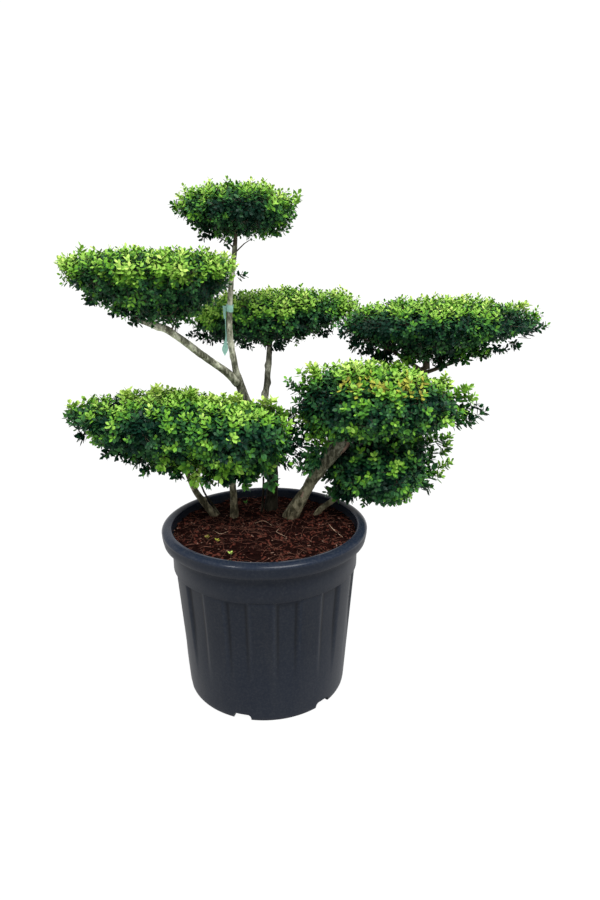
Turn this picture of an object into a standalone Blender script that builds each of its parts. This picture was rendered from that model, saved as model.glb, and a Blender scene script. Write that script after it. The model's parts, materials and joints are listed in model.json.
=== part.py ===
# Potted Japanese holly, clipped into cloud pads, in a round black nursery pot.
# Metres, +Z up. The pot's axis is the Z axis and its flat underside lies on Z = 0.
# The viewer's side of the plant is -Y.

import math
import random

import bmesh
import bpy
from mathutils import Vector

TAU = 2 * math.pi
GAP = 0.0003

# Pot
POT_HEIGHT = 0.515
LIP_RADIUS = 0.301
LIP_CREST_RADIUS = 0.291
LIP_INNER_RADIUS = 0.272
LIP_DROP = 0.042
COLLAR_RADIUS = 0.272
COLLAR_BOTTOM = 0.392
BODY_TOP_RADIUS = 0.268
BASE_RADIUS = 0.2385
BASE_ROUND = 0.008
PANEL_COUNT = 12
PANEL_TURN = math.radians(0.5)
PANEL_WIDTH = math.radians(16.0)
PANEL_EDGE = math.radians(1.4)
PANEL_DEPTH = 0.007
PANEL_FADE_LOW = 0.07
PANEL_FADE_HIGH = 0.30
INNER_SETBACK = 0.012
FLOOR_THICKNESS = 0.026
NOTCH_COUNT = 6
NOTCH_TURN = math.radians(-14.7)
NOTCH_WIDTH = 0.053
NOTCH_HEIGHT = 0.020
NOTCH_REACH = 0.045

# Soil
SOIL_LEVEL = 0.487
SOIL_GAP = 0.0005

# Label tie on the top stem
TIE_LEVEL = 1.122
TIE_HEIGHT = 0.016
TIE_THICKNESS = 0.0014
TIE_FIT = 0.0005
TIE_STRIP_WIDTH = 0.009

# Leaves and twigs of the foliage masses
LEAF_LENGTH = 0.062
LEAF_WIDTH = 0.60
LEAF_THICKNESS = 0.11
LEAF_SUNK = 0.28
LEAVES_ON_SHOOT = 2
LEAF_ATTEMPTS = 7
LEAF_STEP = 0.008
TWIG_FINE_RADIUS = 0.0022
TWIG_POWER = 2.3
TWIG_SUNK = 0.4
STEM_KNEE = 0.016
CORE_SHARE = 0.82
WALL_SETBACK = 0.03
TIP_SHARE = 0.93
SPACE_EDGE = 1.12
CORE_RINGS = 7
CORE_SIDES = 14
LIMB_CLEARANCE = 0.004
SPACE_CLEARANCE = 0.003

for old in list(bpy.data.objects):
    bpy.data.objects.remove(old, do_unlink=True)


def material(name, colour, roughness, metallic=0.0):
    made = bpy.data.materials.new(name)
    made.use_nodes = True
    shader = made.node_tree.nodes["Principled BSDF"]
    shader.inputs["Base Color"].default_value = (*colour, 1.0)
    shader.inputs["Roughness"].default_value = roughness
    shader.inputs["Metallic"].default_value = metallic
    made.diffuse_color = (*colour, 1.0)
    return made


POT_PLASTIC = material("pot_plastic", (0.030, 0.034, 0.042), 0.42)
SOIL_BARK = material("soil_bark", (0.070, 0.030, 0.018), 0.95)
BARK = material("bark", (0.185, 0.135, 0.100), 0.85)
TIE_PLASTIC = material("tie_plastic", (0.30, 0.55, 0.48), 0.50)
LEAF_GREEN = material("leaf_green", (0.075, 0.180, 0.030), 0.45)


def mesh_object(name, points, faces, finish, smooth=False):
    mesh = bpy.data.meshes.new(name)
    mesh.from_pydata([tuple(point) for point in points], [], faces)
    mesh.validate()
    mesh.materials.append(finish)
    if smooth:
        mesh.shade_smooth()
        mesh.set_sharp_from_angle(angle=math.radians(35))
    made = bpy.data.objects.new(name, mesh)
    bpy.context.scene.collection.objects.link(made)
    return made


def as_guide(made):
    made.hide_render = True
    made.display_type = "WIRE"
    return made


def boolean(target, operation, cutter=None, collection=None, solver="EXACT"):
    step = target.modifiers.new(operation.lower(), "BOOLEAN")
    step.operation = operation
    step.solver = solver
    if collection:
        step.operand_type = "COLLECTION"
        step.collection = collection
    else:
        step.object = cutter
    return step


def lerp(a, b, share):
    return a + (b - a) * share


def smoothstep(low, high, value):
    share = min(1.0, max(0.0, (value - low) / (high - low)))
    return share * share * (3 - 2 * share)


# The pot: a turned wall with twelve raised panels, a rolled lip and a notch under every other recess.

def pot_columns():
    angles = []
    period = TAU / PANEL_COUNT
    half = PANEL_WIDTH / 2
    for panel in range(PANEL_COUNT):
        middle = PANEL_TURN + panel * period
        for offset in (-half - PANEL_EDGE, -half + PANEL_EDGE, 0.0,
                       half - PANEL_EDGE, half + PANEL_EDGE, period / 2):
            angles.append(middle + offset)
    return angles


def in_recess(angle):
    period = TAU / PANEL_COUNT
    offset = (angle - PANEL_TURN + period / 2) % period - period / 2
    return abs(offset) > PANEL_WIDTH / 2


def body_radius(height):
    return lerp(BASE_RADIUS, BODY_TOP_RADIUS, height / COLLAR_BOTTOM)


def wall_radius(angle, height):
    depth = PANEL_DEPTH * smoothstep(PANEL_FADE_LOW, PANEL_FADE_HIGH, height)
    return body_radius(height) - (depth if in_recess(angle) else 0.0)


def around(angle, radius, height):
    return Vector((radius * math.sin(angle), -radius * math.cos(angle), height))


def pot_outer_rows():
    # Each row gives a height and either a fixed radius or None for the panelled wall.
    base = [(0.0, BASE_RADIUS - BASE_ROUND), (BASE_ROUND * 0.35, BASE_RADIUS - BASE_ROUND * 0.25)]
    wall = [(height, None) for height in (0.016, 0.090, 0.180, 0.290, COLLAR_BOTTOM - 0.006)]
    collar = [(COLLAR_BOTTOM, COLLAR_RADIUS),
              (POT_HEIGHT - LIP_DROP - 0.002, COLLAR_RADIUS + 0.001)]
    lip = [(POT_HEIGHT - LIP_DROP, LIP_RADIUS - 0.009), (POT_HEIGHT - LIP_DROP + 0.008, LIP_RADIUS - 0.003),
           (POT_HEIGHT - 0.014, LIP_RADIUS), (POT_HEIGHT - 0.004, LIP_RADIUS - 0.004),
           (POT_HEIGHT, LIP_CREST_RADIUS), (POT_HEIGHT - 0.002, LIP_INNER_RADIUS + 0.005),
           (POT_HEIGHT - 0.010, LIP_INNER_RADIUS)]
    return base + wall + collar + lip


def inner_radius(height):
    body = body_radius(COLLAR_BOTTOM) - INNER_SETBACK
    if height > COLLAR_BOTTOM:
        return lerp(body, LIP_INNER_RADIUS - 0.003, (height - COLLAR_BOTTOM) / (SOIL_LEVEL - COLLAR_BOTTOM))
    return lerp(BASE_RADIUS - INNER_SETBACK, body, height / COLLAR_BOTTOM)


def make_pot():
    columns = pot_columns()
    count = len(columns)
    rows = [[around(a, wall_radius(a, h) if r is None else r, h) for a in columns]
            for h, r in pot_outer_rows()]
    rows += [[around(a, inner_radius(h), h) for a in columns]
             for h in (SOIL_LEVEL, COLLAR_BOTTOM, FLOOR_THICKNESS)]
    points = [point for row in rows for point in row]
    faces = [list(range(count))[::-1]]
    for row in range(len(rows) - 1):
        for k in range(count):
            k2 = (k + 1) % count
            faces.append([row * count + k, row * count + k2, (row + 1) * count + k2, (row + 1) * count + k])
    last = (len(rows) - 1) * count
    faces.append([last + k for k in range(count)])
    pot = mesh_object("pot", points, faces, POT_PLASTIC, smooth=True)
    for notch in range(NOTCH_COUNT):
        boolean(pot, "DIFFERENCE", cutter=notch_cutter(NOTCH_TURN + notch * TAU / NOTCH_COUNT, notch))
    return pot


def notch_cutter(angle, number):
    # A round-topped pocket let into the foot of the wall.
    half = NOTCH_WIDTH / 2
    arch = [(-half, -0.01), (half, -0.01), (half, NOTCH_HEIGHT * 0.55), (half * 0.72, NOTCH_HEIGHT),
            (-half * 0.72, NOTCH_HEIGHT), (-half, NOTCH_HEIGHT * 0.55)]
    points = []
    for radius in (BASE_RADIUS - NOTCH_REACH, BASE_RADIUS + 0.02):
        out = around(angle, 1.0, 0.0)
        side = Vector((-out.y, out.x, 0.0))
        points += [out * radius + side * x + Vector((0, 0, z)) for x, z in arch]
    count = len(arch)
    faces = [list(range(count))[::-1], list(range(count, 2 * count))]
    faces += [[k, (k + 1) % count, (k + 1) % count + count, k + count] for k in range(count)]
    return as_guide(mesh_object(f"notch_cutter_{number}", points, faces, POT_PLASTIC))


def make_soil():
    columns = pot_columns()
    count = len(columns)
    heights = (FLOOR_THICKNESS + SOIL_GAP, COLLAR_BOTTOM, SOIL_LEVEL)
    points = [around(a, inner_radius(h) - SOIL_GAP, h) for h in heights for a in columns]
    faces = [list(range(count))[::-1], list(range(2 * count, 3 * count))]
    for row in range(2):
        for k in range(count):
            k2 = (k + 1) % count
            faces.append([row * count + k, row * count + k2, (row + 1) * count + k2, (row + 1) * count + k])
    return mesh_object("soil", points, faces, SOIL_BARK)


# Limbs: each is a run of joints with a radius at every joint.

STEM_FOOT = SOIL_LEVEL + GAP
LIMBS = {
    "stem_far_left": dict(
        sides=7,
        joints=[(-0.161, 0.100, STEM_FOOT, 0.0125), (-0.183, 0.097, 0.517, 0.0105),
                (-0.200, 0.092, 0.544, 0.0097), (-0.218, 0.084, 0.579, 0.0092),
                (-0.230, 0.070, 0.621, 0.0088)]),
    "stem_front_left": dict(
        sides=7,
        joints=[(-0.101, 0.088, STEM_FOOT, 0.0140), (-0.100, 0.087, 0.536, 0.0112),
                (-0.101, 0.078, 0.581, 0.0104), (-0.102, 0.068, 0.615, 0.0100)]),
    "trunk_middle": dict(
        sides=9,
        joints=[(0.010, 0.150, STEM_FOOT, 0.0240), (0.013, 0.152, 0.528, 0.0190),
                (0.017, 0.155, 0.610, 0.0175), (0.010, 0.157, 0.690, 0.0167),
                (-0.020, 0.157, 0.760, 0.0158), (-0.056, 0.155, 0.829, 0.0146),
                (-0.073, 0.150, 0.877, 0.0138), (-0.083, 0.143, 0.914, 0.0134)]),
    "stem_top": dict(
        sides=7, follows="trunk_middle",
        joints=[(-0.0835, 0.1428, 0.9158, 0.0112), (-0.089, 0.139, 0.945, 0.0094),
                (-0.100, 0.127, 1.024, 0.0086), (-0.101, 0.121, 1.066, 0.0083),
                (-0.098, 0.114, 1.122, 0.0079), (-0.091, 0.106, 1.192, 0.0074),
                (-0.080, 0.097, 1.265, 0.0072), (-0.076, 0.093, 1.295, 0.0072)]),
    "stem_back": dict(
        sides=7, grows_from="trunk_middle",
        joints=[(0.001, 0.158, 0.708, 0.0108), (-0.004, 0.166, 0.767, 0.0104),
                (-0.006, 0.178, 0.824, 0.0100), (0.002, 0.205, 0.900, 0.0095),
                (0.007, 0.233, 0.965, 0.0092), (0.009, 0.246, 0.996, 0.0092)]),
    "bough_upper_left": dict(
        sides=8, grows_from="trunk_middle", clears=["stem_top"],
        joints=[(-0.082, 0.145, 0.900, 0.0128), (-0.111, 0.130, 0.931, 0.0118),
                (-0.145, 0.103, 0.963, 0.0106), (-0.183, 0.072, 0.998, 0.0106),
                (-0.216, 0.042, 1.032, 0.0100), (-0.243, 0.016, 1.058, 0.0098),
                (-0.264, 0.001, 1.074, 0.0100), (-0.290, -0.010, 1.085, 0.0096),
                (-0.330, -0.020, 1.101, 0.0070)]),
    "trunk_right": dict(
        sides=10,
        joints=[(0.072, 0.092, STEM_FOOT, 0.0260), (0.101, 0.076, 0.545, 0.0200),
                (0.123, 0.066, 0.586, 0.0170), (0.140, 0.058, 0.620, 0.0172),
                (0.160, 0.050, 0.655, 0.0185), (0.184, 0.042, 0.690, 0.0200),
                (0.208, 0.034, 0.721, 0.0208), (0.226, 0.028, 0.742, 0.0206),
                (0.238, 0.025, 0.757, 0.0160)]),
    "bough_right": dict(
        sides=8, grows_from="trunk_right",
        joints=[(0.180, 0.045, 0.686, 0.0168), (0.208, 0.088, 0.742, 0.0162),
                (0.268, 0.140, 0.802, 0.0155), (0.350, 0.168, 0.858, 0.0148),
                (0.425, 0.176, 0.902, 0.0140), (0.476, 0.174, 0.932, 0.0132)]),
    "bough_centre_right": dict(
        sides=7, grows_from="trunk_right",
        joints=[(0.196, 0.038, 0.704, 0.0115), (0.203, 0.045, 0.738, 0.0108),
                (0.214, 0.042, 0.764, 0.0100)]),
    "stem_low_right": dict(
        sides=7,
        joints=[(0.152, 0.100, STEM_FOOT, 0.0115), (0.170, 0.103, 0.511, 0.0094),
                (0.198, 0.104, 0.532, 0.0089), (0.226, 0.104, 0.552, 0.0086)]),
    "shoot_far_left": dict(
        sides=5,
        joints=[(-0.148, 0.112, STEM_FOOT, 0.0036), (-0.172, 0.120, 0.520, 0.0032),
                (-0.194, 0.120, 0.556, 0.0030), (-0.208, 0.114, 0.600, 0.0028)]),
    "shoot_middle": dict(
        sides=5,
        joints=[(-0.017, 0.127, STEM_FOOT, 0.0042), (-0.012, 0.127, 0.550, 0.0035),
                (-0.010, 0.120, 0.610, 0.0030)]),
}


def spline(joints, steps):
    # Catmull-Rom through the joints, radius included.
    rows = [Vector(joint) for joint in joints]
    rows = [rows[0] * 2 - rows[1]] + rows + [rows[-1] * 2 - rows[-2]]
    path = []
    for k in range(1, len(rows) - 2):
        a, b, c, d = rows[k - 1:k + 3]
        for step in range(steps):
            t = step / steps
            path.append(0.5 * (2 * b + (c - a) * t + (2 * a - 5 * b + 4 * c - d) * t * t
                               + (3 * b - a - 3 * c + d) * t ** 3))
    path.append(rows[-2])
    return [(Vector(row[:3]), row[3]) for row in path]


def limb_rings(joints, sides, steps, extra=0.0, from_ground=False):
    path = spline(joints, steps)
    rings = []
    side = Vector((1, 0, 0))
    for k, (centre, radius) in enumerate(path):
        ahead = path[min(k + 1, len(path) - 1)][0] - path[max(k - 1, 0)][0]
        ahead.normalize()
        if k == 0 and from_ground:
            ahead = Vector((0, 0, 1))
        side = (side - ahead * side.dot(ahead)).normalized()
        up = ahead.cross(side)
        reach = radius + extra / math.cos(math.pi / sides)
        rings.append([centre + (side * math.cos(TAU * j / sides) + up * math.sin(TAU * j / sides)) * reach
                      for j in range(sides)])
    return rings


def loft(name, rings, finish, smooth=True):
    sides = len(rings[0])
    points = [point for ring in rings for point in ring]
    faces = [list(range(sides))[::-1]]
    for row in range(len(rings) - 1):
        for k in range(sides):
            k2 = (k + 1) % sides
            faces.append([row * sides + k, row * sides + k2, (row + 1) * sides + k2, (row + 1) * sides + k])
    last = (len(rings) - 1) * sides
    faces.append([last + k for k in range(sides)])
    return mesh_object(name, points, faces, finish, smooth=smooth)


def make_limb(name, plan, steps=2):
    grounded = "grows_from" not in plan and "follows" not in plan
    made = loft(name, limb_rings(plan["joints"], plan["sides"], steps, from_ground=grounded), BARK)
    # A bough's foot is hollowed to fit its parent, a hair clear of it.
    parents = [plan["grows_from"]] if "grows_from" in plan else []
    for parent in parents + plan.get("clears", []):
        source = LIMBS[parent]
        rings = limb_rings(source["joints"], source["sides"], steps, extra=GAP)
        cutter = as_guide(loft(f"{name}_fits_{parent}", rings, BARK, smooth=False))
        boolean(made, "DIFFERENCE", cutter=cutter)
    return made


def make_label_tie():
    # A soft plastic band round the top stem, with its tail hanging beside the stem.
    path = spline(LIMBS["stem_top"]["joints"], 2)
    at = min(range(len(path)), key=lambda k: abs(path[k][0].z - TIE_LEVEL))
    centre, radius = path[at]
    ahead = (path[at + 1][0] - path[at - 1][0]).normalized()
    side, up = frame_along(ahead)
    sides = 12
    inner = (radius + TIE_FIT) / math.cos(math.pi / sides)
    profile = [(inner, -TIE_HEIGHT / 2), (inner + TIE_THICKNESS, -TIE_HEIGHT / 2),
               (inner + TIE_THICKNESS, TIE_HEIGHT / 2), (inner, TIE_HEIGHT / 2)]
    points = []
    for k in range(sides):
        turn = TAU * k / sides
        points += [centre + (side * math.cos(turn) + up * math.sin(turn)) * r + ahead * z for r, z in profile]
    faces = []
    for k in range(sides):
        k2 = (k + 1) % sides
        for j in range(4):
            j2 = (j + 1) % 4
            faces.append([k * 4 + j, k2 * 4 + j, k2 * 4 + j2, k * 4 + j2])
    band = mesh_object("label_tie", points, faces, TIE_PLASTIC)
    route = [(-inner - 0.0012, 0.000, 0.002), (-inner - 0.0095, -0.003, -0.020),
             (-inner - 0.0145, -0.004, -0.050), (-inner - 0.0145, -0.005, -0.085),
             (-inner - 0.0150, -0.007, -0.137)]
    across = Vector((0.35, -0.94, 0.0)) * TIE_STRIP_WIDTH / 2
    through = Vector((0.94, 0.35, 0.0)) * TIE_THICKNESS / 2
    rings = [[centre + Vector(p) - across - through, centre + Vector(p) + across - through,
              centre + Vector(p) + across + through, centre + Vector(p) - across + through]
             for p in route][::-1]
    tail = as_guide(loft("label_tie_tail", rings, TIE_PLASTIC, smooth=False))
    boolean(band, "UNION", cutter=tail)
    return band


# Foliage masses: each is a clipped pad that keeps to its own space.
# A pad's side curve has two powers: a slab or dome above, and a cone, slack cone, bowl or tub below.
# The underside narrows towards the keel, which is the limb's tip unless the pad names another place.
# Its slope lifts it towards +X, and its walls are planes that it stays behind.

SLAB = (4.5, 2.0)
FLAT_DOME = (3.0, 2.0)
LOW_DOME = (2.8, 1.9)
CONE = (1.4, 1.15)
SLACK = (1.75, 1.35)
BOWL = (2.0, 1.5)
TUB = (2.5, 1.65)

PADS = {
    "crown_top": dict(
        seed=11, foot="stem_top", centre=(-0.068, 0.080, 1.390), left=0.175, right=0.174,
        front=0.150, back=0.150, top=0.070, drop=0.105, dome=FLAT_DOME, belly=BOWL, keel=(-0.058, 0.088),
        shoots=15),
    "crown_upper_left": dict(
        seed=23, foot="bough_upper_left", centre=(-0.268, -0.060, 1.232), left=0.258, right=0.226,
        front=0.170, back=0.165, top=0.056, drop=0.158, dome=SLAB, belly=SLACK, keel=(-0.263, -0.008),
        shoots=18),
    "crown_back": dict(
        seed=31, foot="stem_back", centre=(0.020, 0.300, 1.108), left=0.264, right=0.275, slope=0.055,
        front=0.150, back=0.150, top=0.068, drop=0.126, dome=FLAT_DOME, belly=TUB, keel=(-0.020, 0.285),
        shoots=16),
    "crown_right": dict(
        seed=43, foot="bough_right", centre=(0.498, 0.160, 1.074), left=0.298, right=0.338, slope=0.02,
        front=0.175, back=0.175, top=0.085, drop=0.155, dome=LOW_DOME, belly=CONE, shoots=18),
    "crown_far_left": dict(
        seed=53, foot="stem_far_left", centre=(-0.250, -0.020, 0.838), left=0.316, right=0.150,
        front=0.165, back=0.155, top=0.070, drop=0.208, dome=FLAT_DOME, belly=SLACK, shoots=16,
        walls=[((1, 0, 0), -0.171)]),
    "crown_front_left": dict(
        seed=61, foot="stem_front_left", centre=(-0.120, -0.030, 0.818), left=0.150, right=0.228, slope=-0.07,
        front=0.165, back=0.140, top=0.074, drop=0.216, dome=FLAT_DOME, belly=BOWL, shoots=16,
        walls=[((-1, 0, 0), 0.169)]),
    "crown_centre_right": dict(
        seed=71, foot="bough_centre_right", centre=(0.340, -0.010, 0.872), left=0.262, right=0.270, slope=-0.11,
        front=0.150, back=0.130, top=0.122, drop=0.135, dome=LOW_DOME, belly=BOWL, shoots=18,
        walls=[((0, 0, -1), -0.772)]),
    "crown_low_right": dict(
        seed=83, foot="stem_low_right", centre=(0.352, 0.085, 0.672), left=0.176, right=0.184,
        front=0.150, back=0.150, top=0.140, drop=0.148, dome=FLAT_DOME, belly=TUB, keel=(0.362, 0.090),
        shoots=16, walls=[((0, 0, 1), 0.764), ((-0.35, 0, 0.937), 0.588)]),
}


def lumps(seed, turn):
    rng = random.Random(seed)
    waves = [(k, rng.uniform(0, TAU), rng.uniform(0.5, 1.0)) for k in (2, 3, 5, 7)]
    return sum(size * math.sin(k * turn + phase) for k, phase, size in waves) / 4


def pad_reach(pad, turn):
    # Plan radius of the pad, from its four named half-widths.
    along, across = math.cos(turn), math.sin(turn)
    half_x = pad["right"] if along > 0 else pad["left"]
    half_y = pad["back"] if across > 0 else pad["front"]
    plain = (abs(along / half_x) ** 2.2 + abs(across / half_y) ** 2.2) ** (-1 / 2.2)
    return plain * (1 + 0.05 * lumps(pad["seed"], turn))


def pad_foot(pad):
    path = spline(LIMBS[pad["foot"]]["joints"], 2)
    tip, radius = path[-1]
    ahead = (tip - path[-2][0]).normalized()
    return tip, ahead, radius


def pad_middle(pad, level):
    # The underside narrows towards the keel.
    centre = Vector(pad["centre"])
    if level >= 0:
        return centre.x, centre.y
    share = abs(level) ** 1.5
    keel = pad.get("keel", pad_foot(pad)[0])
    return lerp(centre.x, keel[0], share), lerp(centre.y, keel[1], share)


def pad_shape(pad, level):
    return pad["dome"] if level >= 0 else pad["belly"]


def pad_lift(pad, x):
    return pad.get("slope", 0.0) * (x - pad["centre"][0])


def pad_surface(pad, turn, level, share=1.0):
    wide, tall = pad_shape(pad, level)
    x, y = pad_middle(pad, level)
    reach = pad_reach(pad, turn) * (1 - abs(level) ** tall) ** (1 / wide) * share
    height = (pad["top"] if level >= 0 else pad["drop"]) * level * share
    bump = 1 + 0.06 * math.sin(9 * turn + pad["seed"]) * (1 - abs(level))
    point = Vector((x + reach * bump * math.cos(turn), y + reach * bump * math.sin(turn),
                    pad["centre"][2] + height))
    point.z += pad_lift(pad, point.x)
    for normal, limit in pad.get("walls", []):
        normal = Vector(normal)
        past = point.dot(normal) - limit + (1 - share) * WALL_SETBACK
        if past > 0:
            point -= normal * past
    return point


def in_space(pad, point, clearance=SPACE_CLEARANCE):
    height = point.z - pad["centre"][2] - pad_lift(pad, point.x)
    level = height / (pad["top"] if height >= 0 else pad["drop"])
    if abs(level) >= 1.0:
        return False
    wide, tall = pad_shape(pad, level)
    x, y = pad_middle(pad, level)
    turn = math.atan2(point.y - y, point.x - x)
    reach = math.hypot(point.x - x, point.y - y) / pad_reach(pad, turn)
    if reach ** wide + abs(level) ** tall > SPACE_EDGE:
        return False
    return all(point.dot(Vector(normal)) < limit - clearance for normal, limit in pad.get("walls", []))


def clear_of_limbs(points):
    for name, plan in LIMBS.items():
        path = spline(plan["joints"], 1)
        for (a, ra), (b, rb) in zip(path, path[1:]):
            run = b - a
            for point in points:
                share = min(1.0, max(0.0, (point - a).dot(run) / run.length_squared))
                near = lerp(ra, rb, share) + LIMB_CLEARANCE
                if (point - a - run * share).length < near:
                    return False
    return True


def spread_tips(pad, count, rng):
    # Evenly spread points over the pad's skin, each as far as can be from those before.
    pool = []
    while len(pool) < count * 30:
        turn = rng.uniform(0, TAU)
        level = rng.uniform(-0.85, 0.97)
        point = pad_surface(pad, turn, level, TIP_SHARE)
        if in_space(pad, point):
            pool.append(point)
    tips = [max(pool, key=lambda point: point.z)]
    while len(tips) < count:
        tips.append(max(pool, key=lambda point: min((point - tip).length_squared for tip in tips)))
    return tips


def part_tips(tips):
    # Splits a group of tips across its longer way.
    middle = sum(tips, Vector()) / len(tips)
    far = max(tips, key=lambda tip: (tip - middle).length_squared)
    other = max(tips, key=lambda tip: (tip - far).length_squared)
    axis = other - far
    ordered = sorted(tips, key=lambda tip: tip.dot(axis))
    half = len(ordered) // 2
    return ordered[:half], ordered[half:]


def grow(start, radius, tips, rng, twigs, shoots):
    # One branch runs part of the way to the middle of its tips, then parts in two.
    if len(tips) == 1:
        twigs.append((start, tips[0], radius, TWIG_FINE_RADIUS))
        shoots.append((start, tips[0]))
        return
    middle = sum(tips, Vector()) / len(tips)
    end = start.lerp(middle, 0.42)
    end.z -= 0.05 * (middle - start).length
    end += Vector([rng.uniform(-1, 1) for _ in range(3)]) * 0.004
    twigs.append((start, end, radius, radius * 0.85))
    for group in part_tips(tips):
        child = max(TWIG_FINE_RADIUS, radius * 0.85 * (len(group) / len(tips)) ** (1 / TWIG_POWER))
        grow(end, child, group, rng, twigs, shoots)


def frame_along(ahead):
    side = ahead.cross(Vector((0, 0, 1)))
    if side.length < 0.1:
        side = ahead.cross(Vector((1, 0, 0)))
    side.normalize()
    return side, ahead.cross(side)


def twig_mesh(name, a, b, ra, rb):
    ahead = (b - a).normalized()
    side, up = frame_along(ahead)
    rings = [[centre + (side * math.cos(TAU * j / 3) + up * math.sin(TAU * j / 3)) * radius for j in range(3)]
             for centre, radius in ((a - ahead * ra * TWIG_SUNK, ra), (b + ahead * rb * TWIG_SUNK, rb))]
    return loft(name, rings, LEAF_GREEN, smooth=False)


def leaf_points(root, ahead, flat, length):
    # A pointed oval of eight faces: root, tip, two edges and a slight rib above and below.
    side = ahead.cross(flat).normalized()
    flat = side.cross(ahead).normalized()
    widest = root + ahead * length * 0.55
    half = length * LEAF_WIDTH / 2
    rib = length * LEAF_THICKNESS / 2
    return [root, widest + side * half, widest + flat * rib, widest - side * half, widest - flat * rib,
            root + ahead * length]


LEAF_FACES = [(0, 2, 1), (0, 3, 2), (0, 4, 3), (0, 1, 4), (5, 1, 2), (5, 2, 3), (5, 3, 4), (5, 4, 1)]


def shoot_leaves(pad, start, tip, rng):
    # Leaves stand round the shoot, each turned until it lies inside the pad's space.
    run = (tip - start).normalized()
    side, up = frame_along(run)
    spin = rng.uniform(0, TAU)
    leaves = []
    for k in range(LEAVES_ON_SHOOT):
        length = LEAF_LENGTH * rng.uniform(0.85, 1.15)
        for attempt in range(LEAF_ATTEMPTS):
            turn = spin + k * TAU / LEAVES_ON_SHOOT + attempt * 0.9
            aim = (run * 0.5 + side * math.cos(turn) + up * math.sin(turn)).normalized()
            root = tip - run * (0.003 + LEAF_STEP * k) - aim * length * LEAF_SUNK * 0.3
            face = aim.cross(Vector((rng.uniform(-0.5, 0.5), rng.uniform(-0.5, 0.5), 1.0))).cross(aim)
            points = leaf_points(root, aim, face, length)
            if all(in_space(pad, point) for point in points[1:]) and clear_of_limbs(points):
                leaves.append(points)
                break
            length *= 0.94
    return leaves


def make_core(pad):
    rings = []
    for ring in range(CORE_RINGS):
        level = -0.93 + 1.86 * ring / (CORE_RINGS - 1)
        rings.append([pad_surface(pad, TAU * (k + 0.5 * (ring % 2)) / CORE_SIDES, level, CORE_SHARE)
                      for k in range(CORE_SIDES)])
    return loft(pad["name"], rings, LEAF_GREEN, smooth=False)


def keep_one_body(mesh):
    # Loose scraps and sealed hollows go: only the largest shell stays.
    shape = bmesh.new()
    shape.from_mesh(mesh)
    left = set(shape.faces)
    shells = []
    while left:
        first = left.pop()
        shell = [first]
        for face in shell:
            for edge in face.edges:
                for near in edge.link_faces:
                    if near in left:
                        left.discard(near)
                        shell.append(near)
        shells.append(shell)
    shells.sort(key=len)
    loose = [face for shell in shells[:-1] for face in shell]
    bmesh.ops.delete(shape, geom=loose, context="FACES")
    shape.to_mesh(mesh)
    shape.free()


def make_mass(name, pad):
    pad["name"] = name
    rng = random.Random(pad["seed"])
    core = make_core(pad)
    foot, ahead, radius = pad_foot(pad)
    stem = radius * 0.8
    start = foot + ahead * (GAP + TWIG_SUNK * stem)
    heart = foot.lerp(Vector(pad["centre"]), 0.35)
    knee = start + ahead * STEM_KNEE
    twigs, shoots = [(start, knee, stem, stem), (knee, heart, stem, stem)], []
    grow(heart, stem, spread_tips(pad, pad["shoots"], rng), rng, twigs, shoots)

    pieces = bpy.data.collections.new(f"{name}_pieces")
    bpy.context.scene.collection.children.link(pieces)
    made = []
    for k, (a, b, ra, rb) in enumerate(twigs):
        if k and not clear_of_limbs([a, b, (a + b) / 2]):
            continue
        made.append(twig_mesh(f"{name}_twig_{k}", a, b, ra, rb))
    for a, b in shoots:
        for points in shoot_leaves(pad, a, b, rng):
            made.append(mesh_object(f"{name}_leaf_{len(made)}", points, LEAF_FACES, LEAF_GREEN))
    for piece in made:
        bpy.context.scene.collection.objects.unlink(piece)
        pieces.objects.link(piece)
    boolean(core, "UNION", collection=pieces)
    settled = bpy.data.meshes.new_from_object(core.evaluated_get(bpy.context.evaluated_depsgraph_get()))
    core.modifiers.clear()
    core.data = settled
    settled.name = name
    for piece in made:
        bpy.data.objects.remove(piece, do_unlink=True)
    bpy.data.collections.remove(pieces)
    keep_one_body(settled)


make_pot()
make_soil()
for limb_name, limb_plan in LIMBS.items():
    make_limb(limb_name, limb_plan)
make_label_tie()
for pad_name, pad_plan in PADS.items():
    make_mass(pad_name, pad_plan)
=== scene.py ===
import json
import math
import random

import bmesh
import bpy
import numpy as np
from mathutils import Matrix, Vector, noise

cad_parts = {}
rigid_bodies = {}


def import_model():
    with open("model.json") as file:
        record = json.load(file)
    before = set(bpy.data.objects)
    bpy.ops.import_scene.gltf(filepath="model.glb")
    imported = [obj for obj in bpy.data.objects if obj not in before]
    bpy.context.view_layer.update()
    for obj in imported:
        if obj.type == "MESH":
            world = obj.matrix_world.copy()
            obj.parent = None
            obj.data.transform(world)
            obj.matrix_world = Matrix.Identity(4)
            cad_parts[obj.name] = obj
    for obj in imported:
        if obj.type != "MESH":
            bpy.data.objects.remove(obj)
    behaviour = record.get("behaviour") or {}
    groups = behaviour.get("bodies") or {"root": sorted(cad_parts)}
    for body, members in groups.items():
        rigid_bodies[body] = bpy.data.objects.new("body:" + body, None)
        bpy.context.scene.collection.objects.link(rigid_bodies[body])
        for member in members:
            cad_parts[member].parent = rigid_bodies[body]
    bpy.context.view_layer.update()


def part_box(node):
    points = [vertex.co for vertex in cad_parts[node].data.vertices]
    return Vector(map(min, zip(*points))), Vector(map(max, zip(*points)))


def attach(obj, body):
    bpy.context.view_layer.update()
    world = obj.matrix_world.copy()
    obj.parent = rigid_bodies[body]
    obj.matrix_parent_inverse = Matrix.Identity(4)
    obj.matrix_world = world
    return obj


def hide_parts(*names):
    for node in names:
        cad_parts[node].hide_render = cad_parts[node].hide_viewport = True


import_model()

tau = 2 * math.pi

# small helpers

def lerp(a, b, share):
    return a + (b - a) * share


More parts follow.
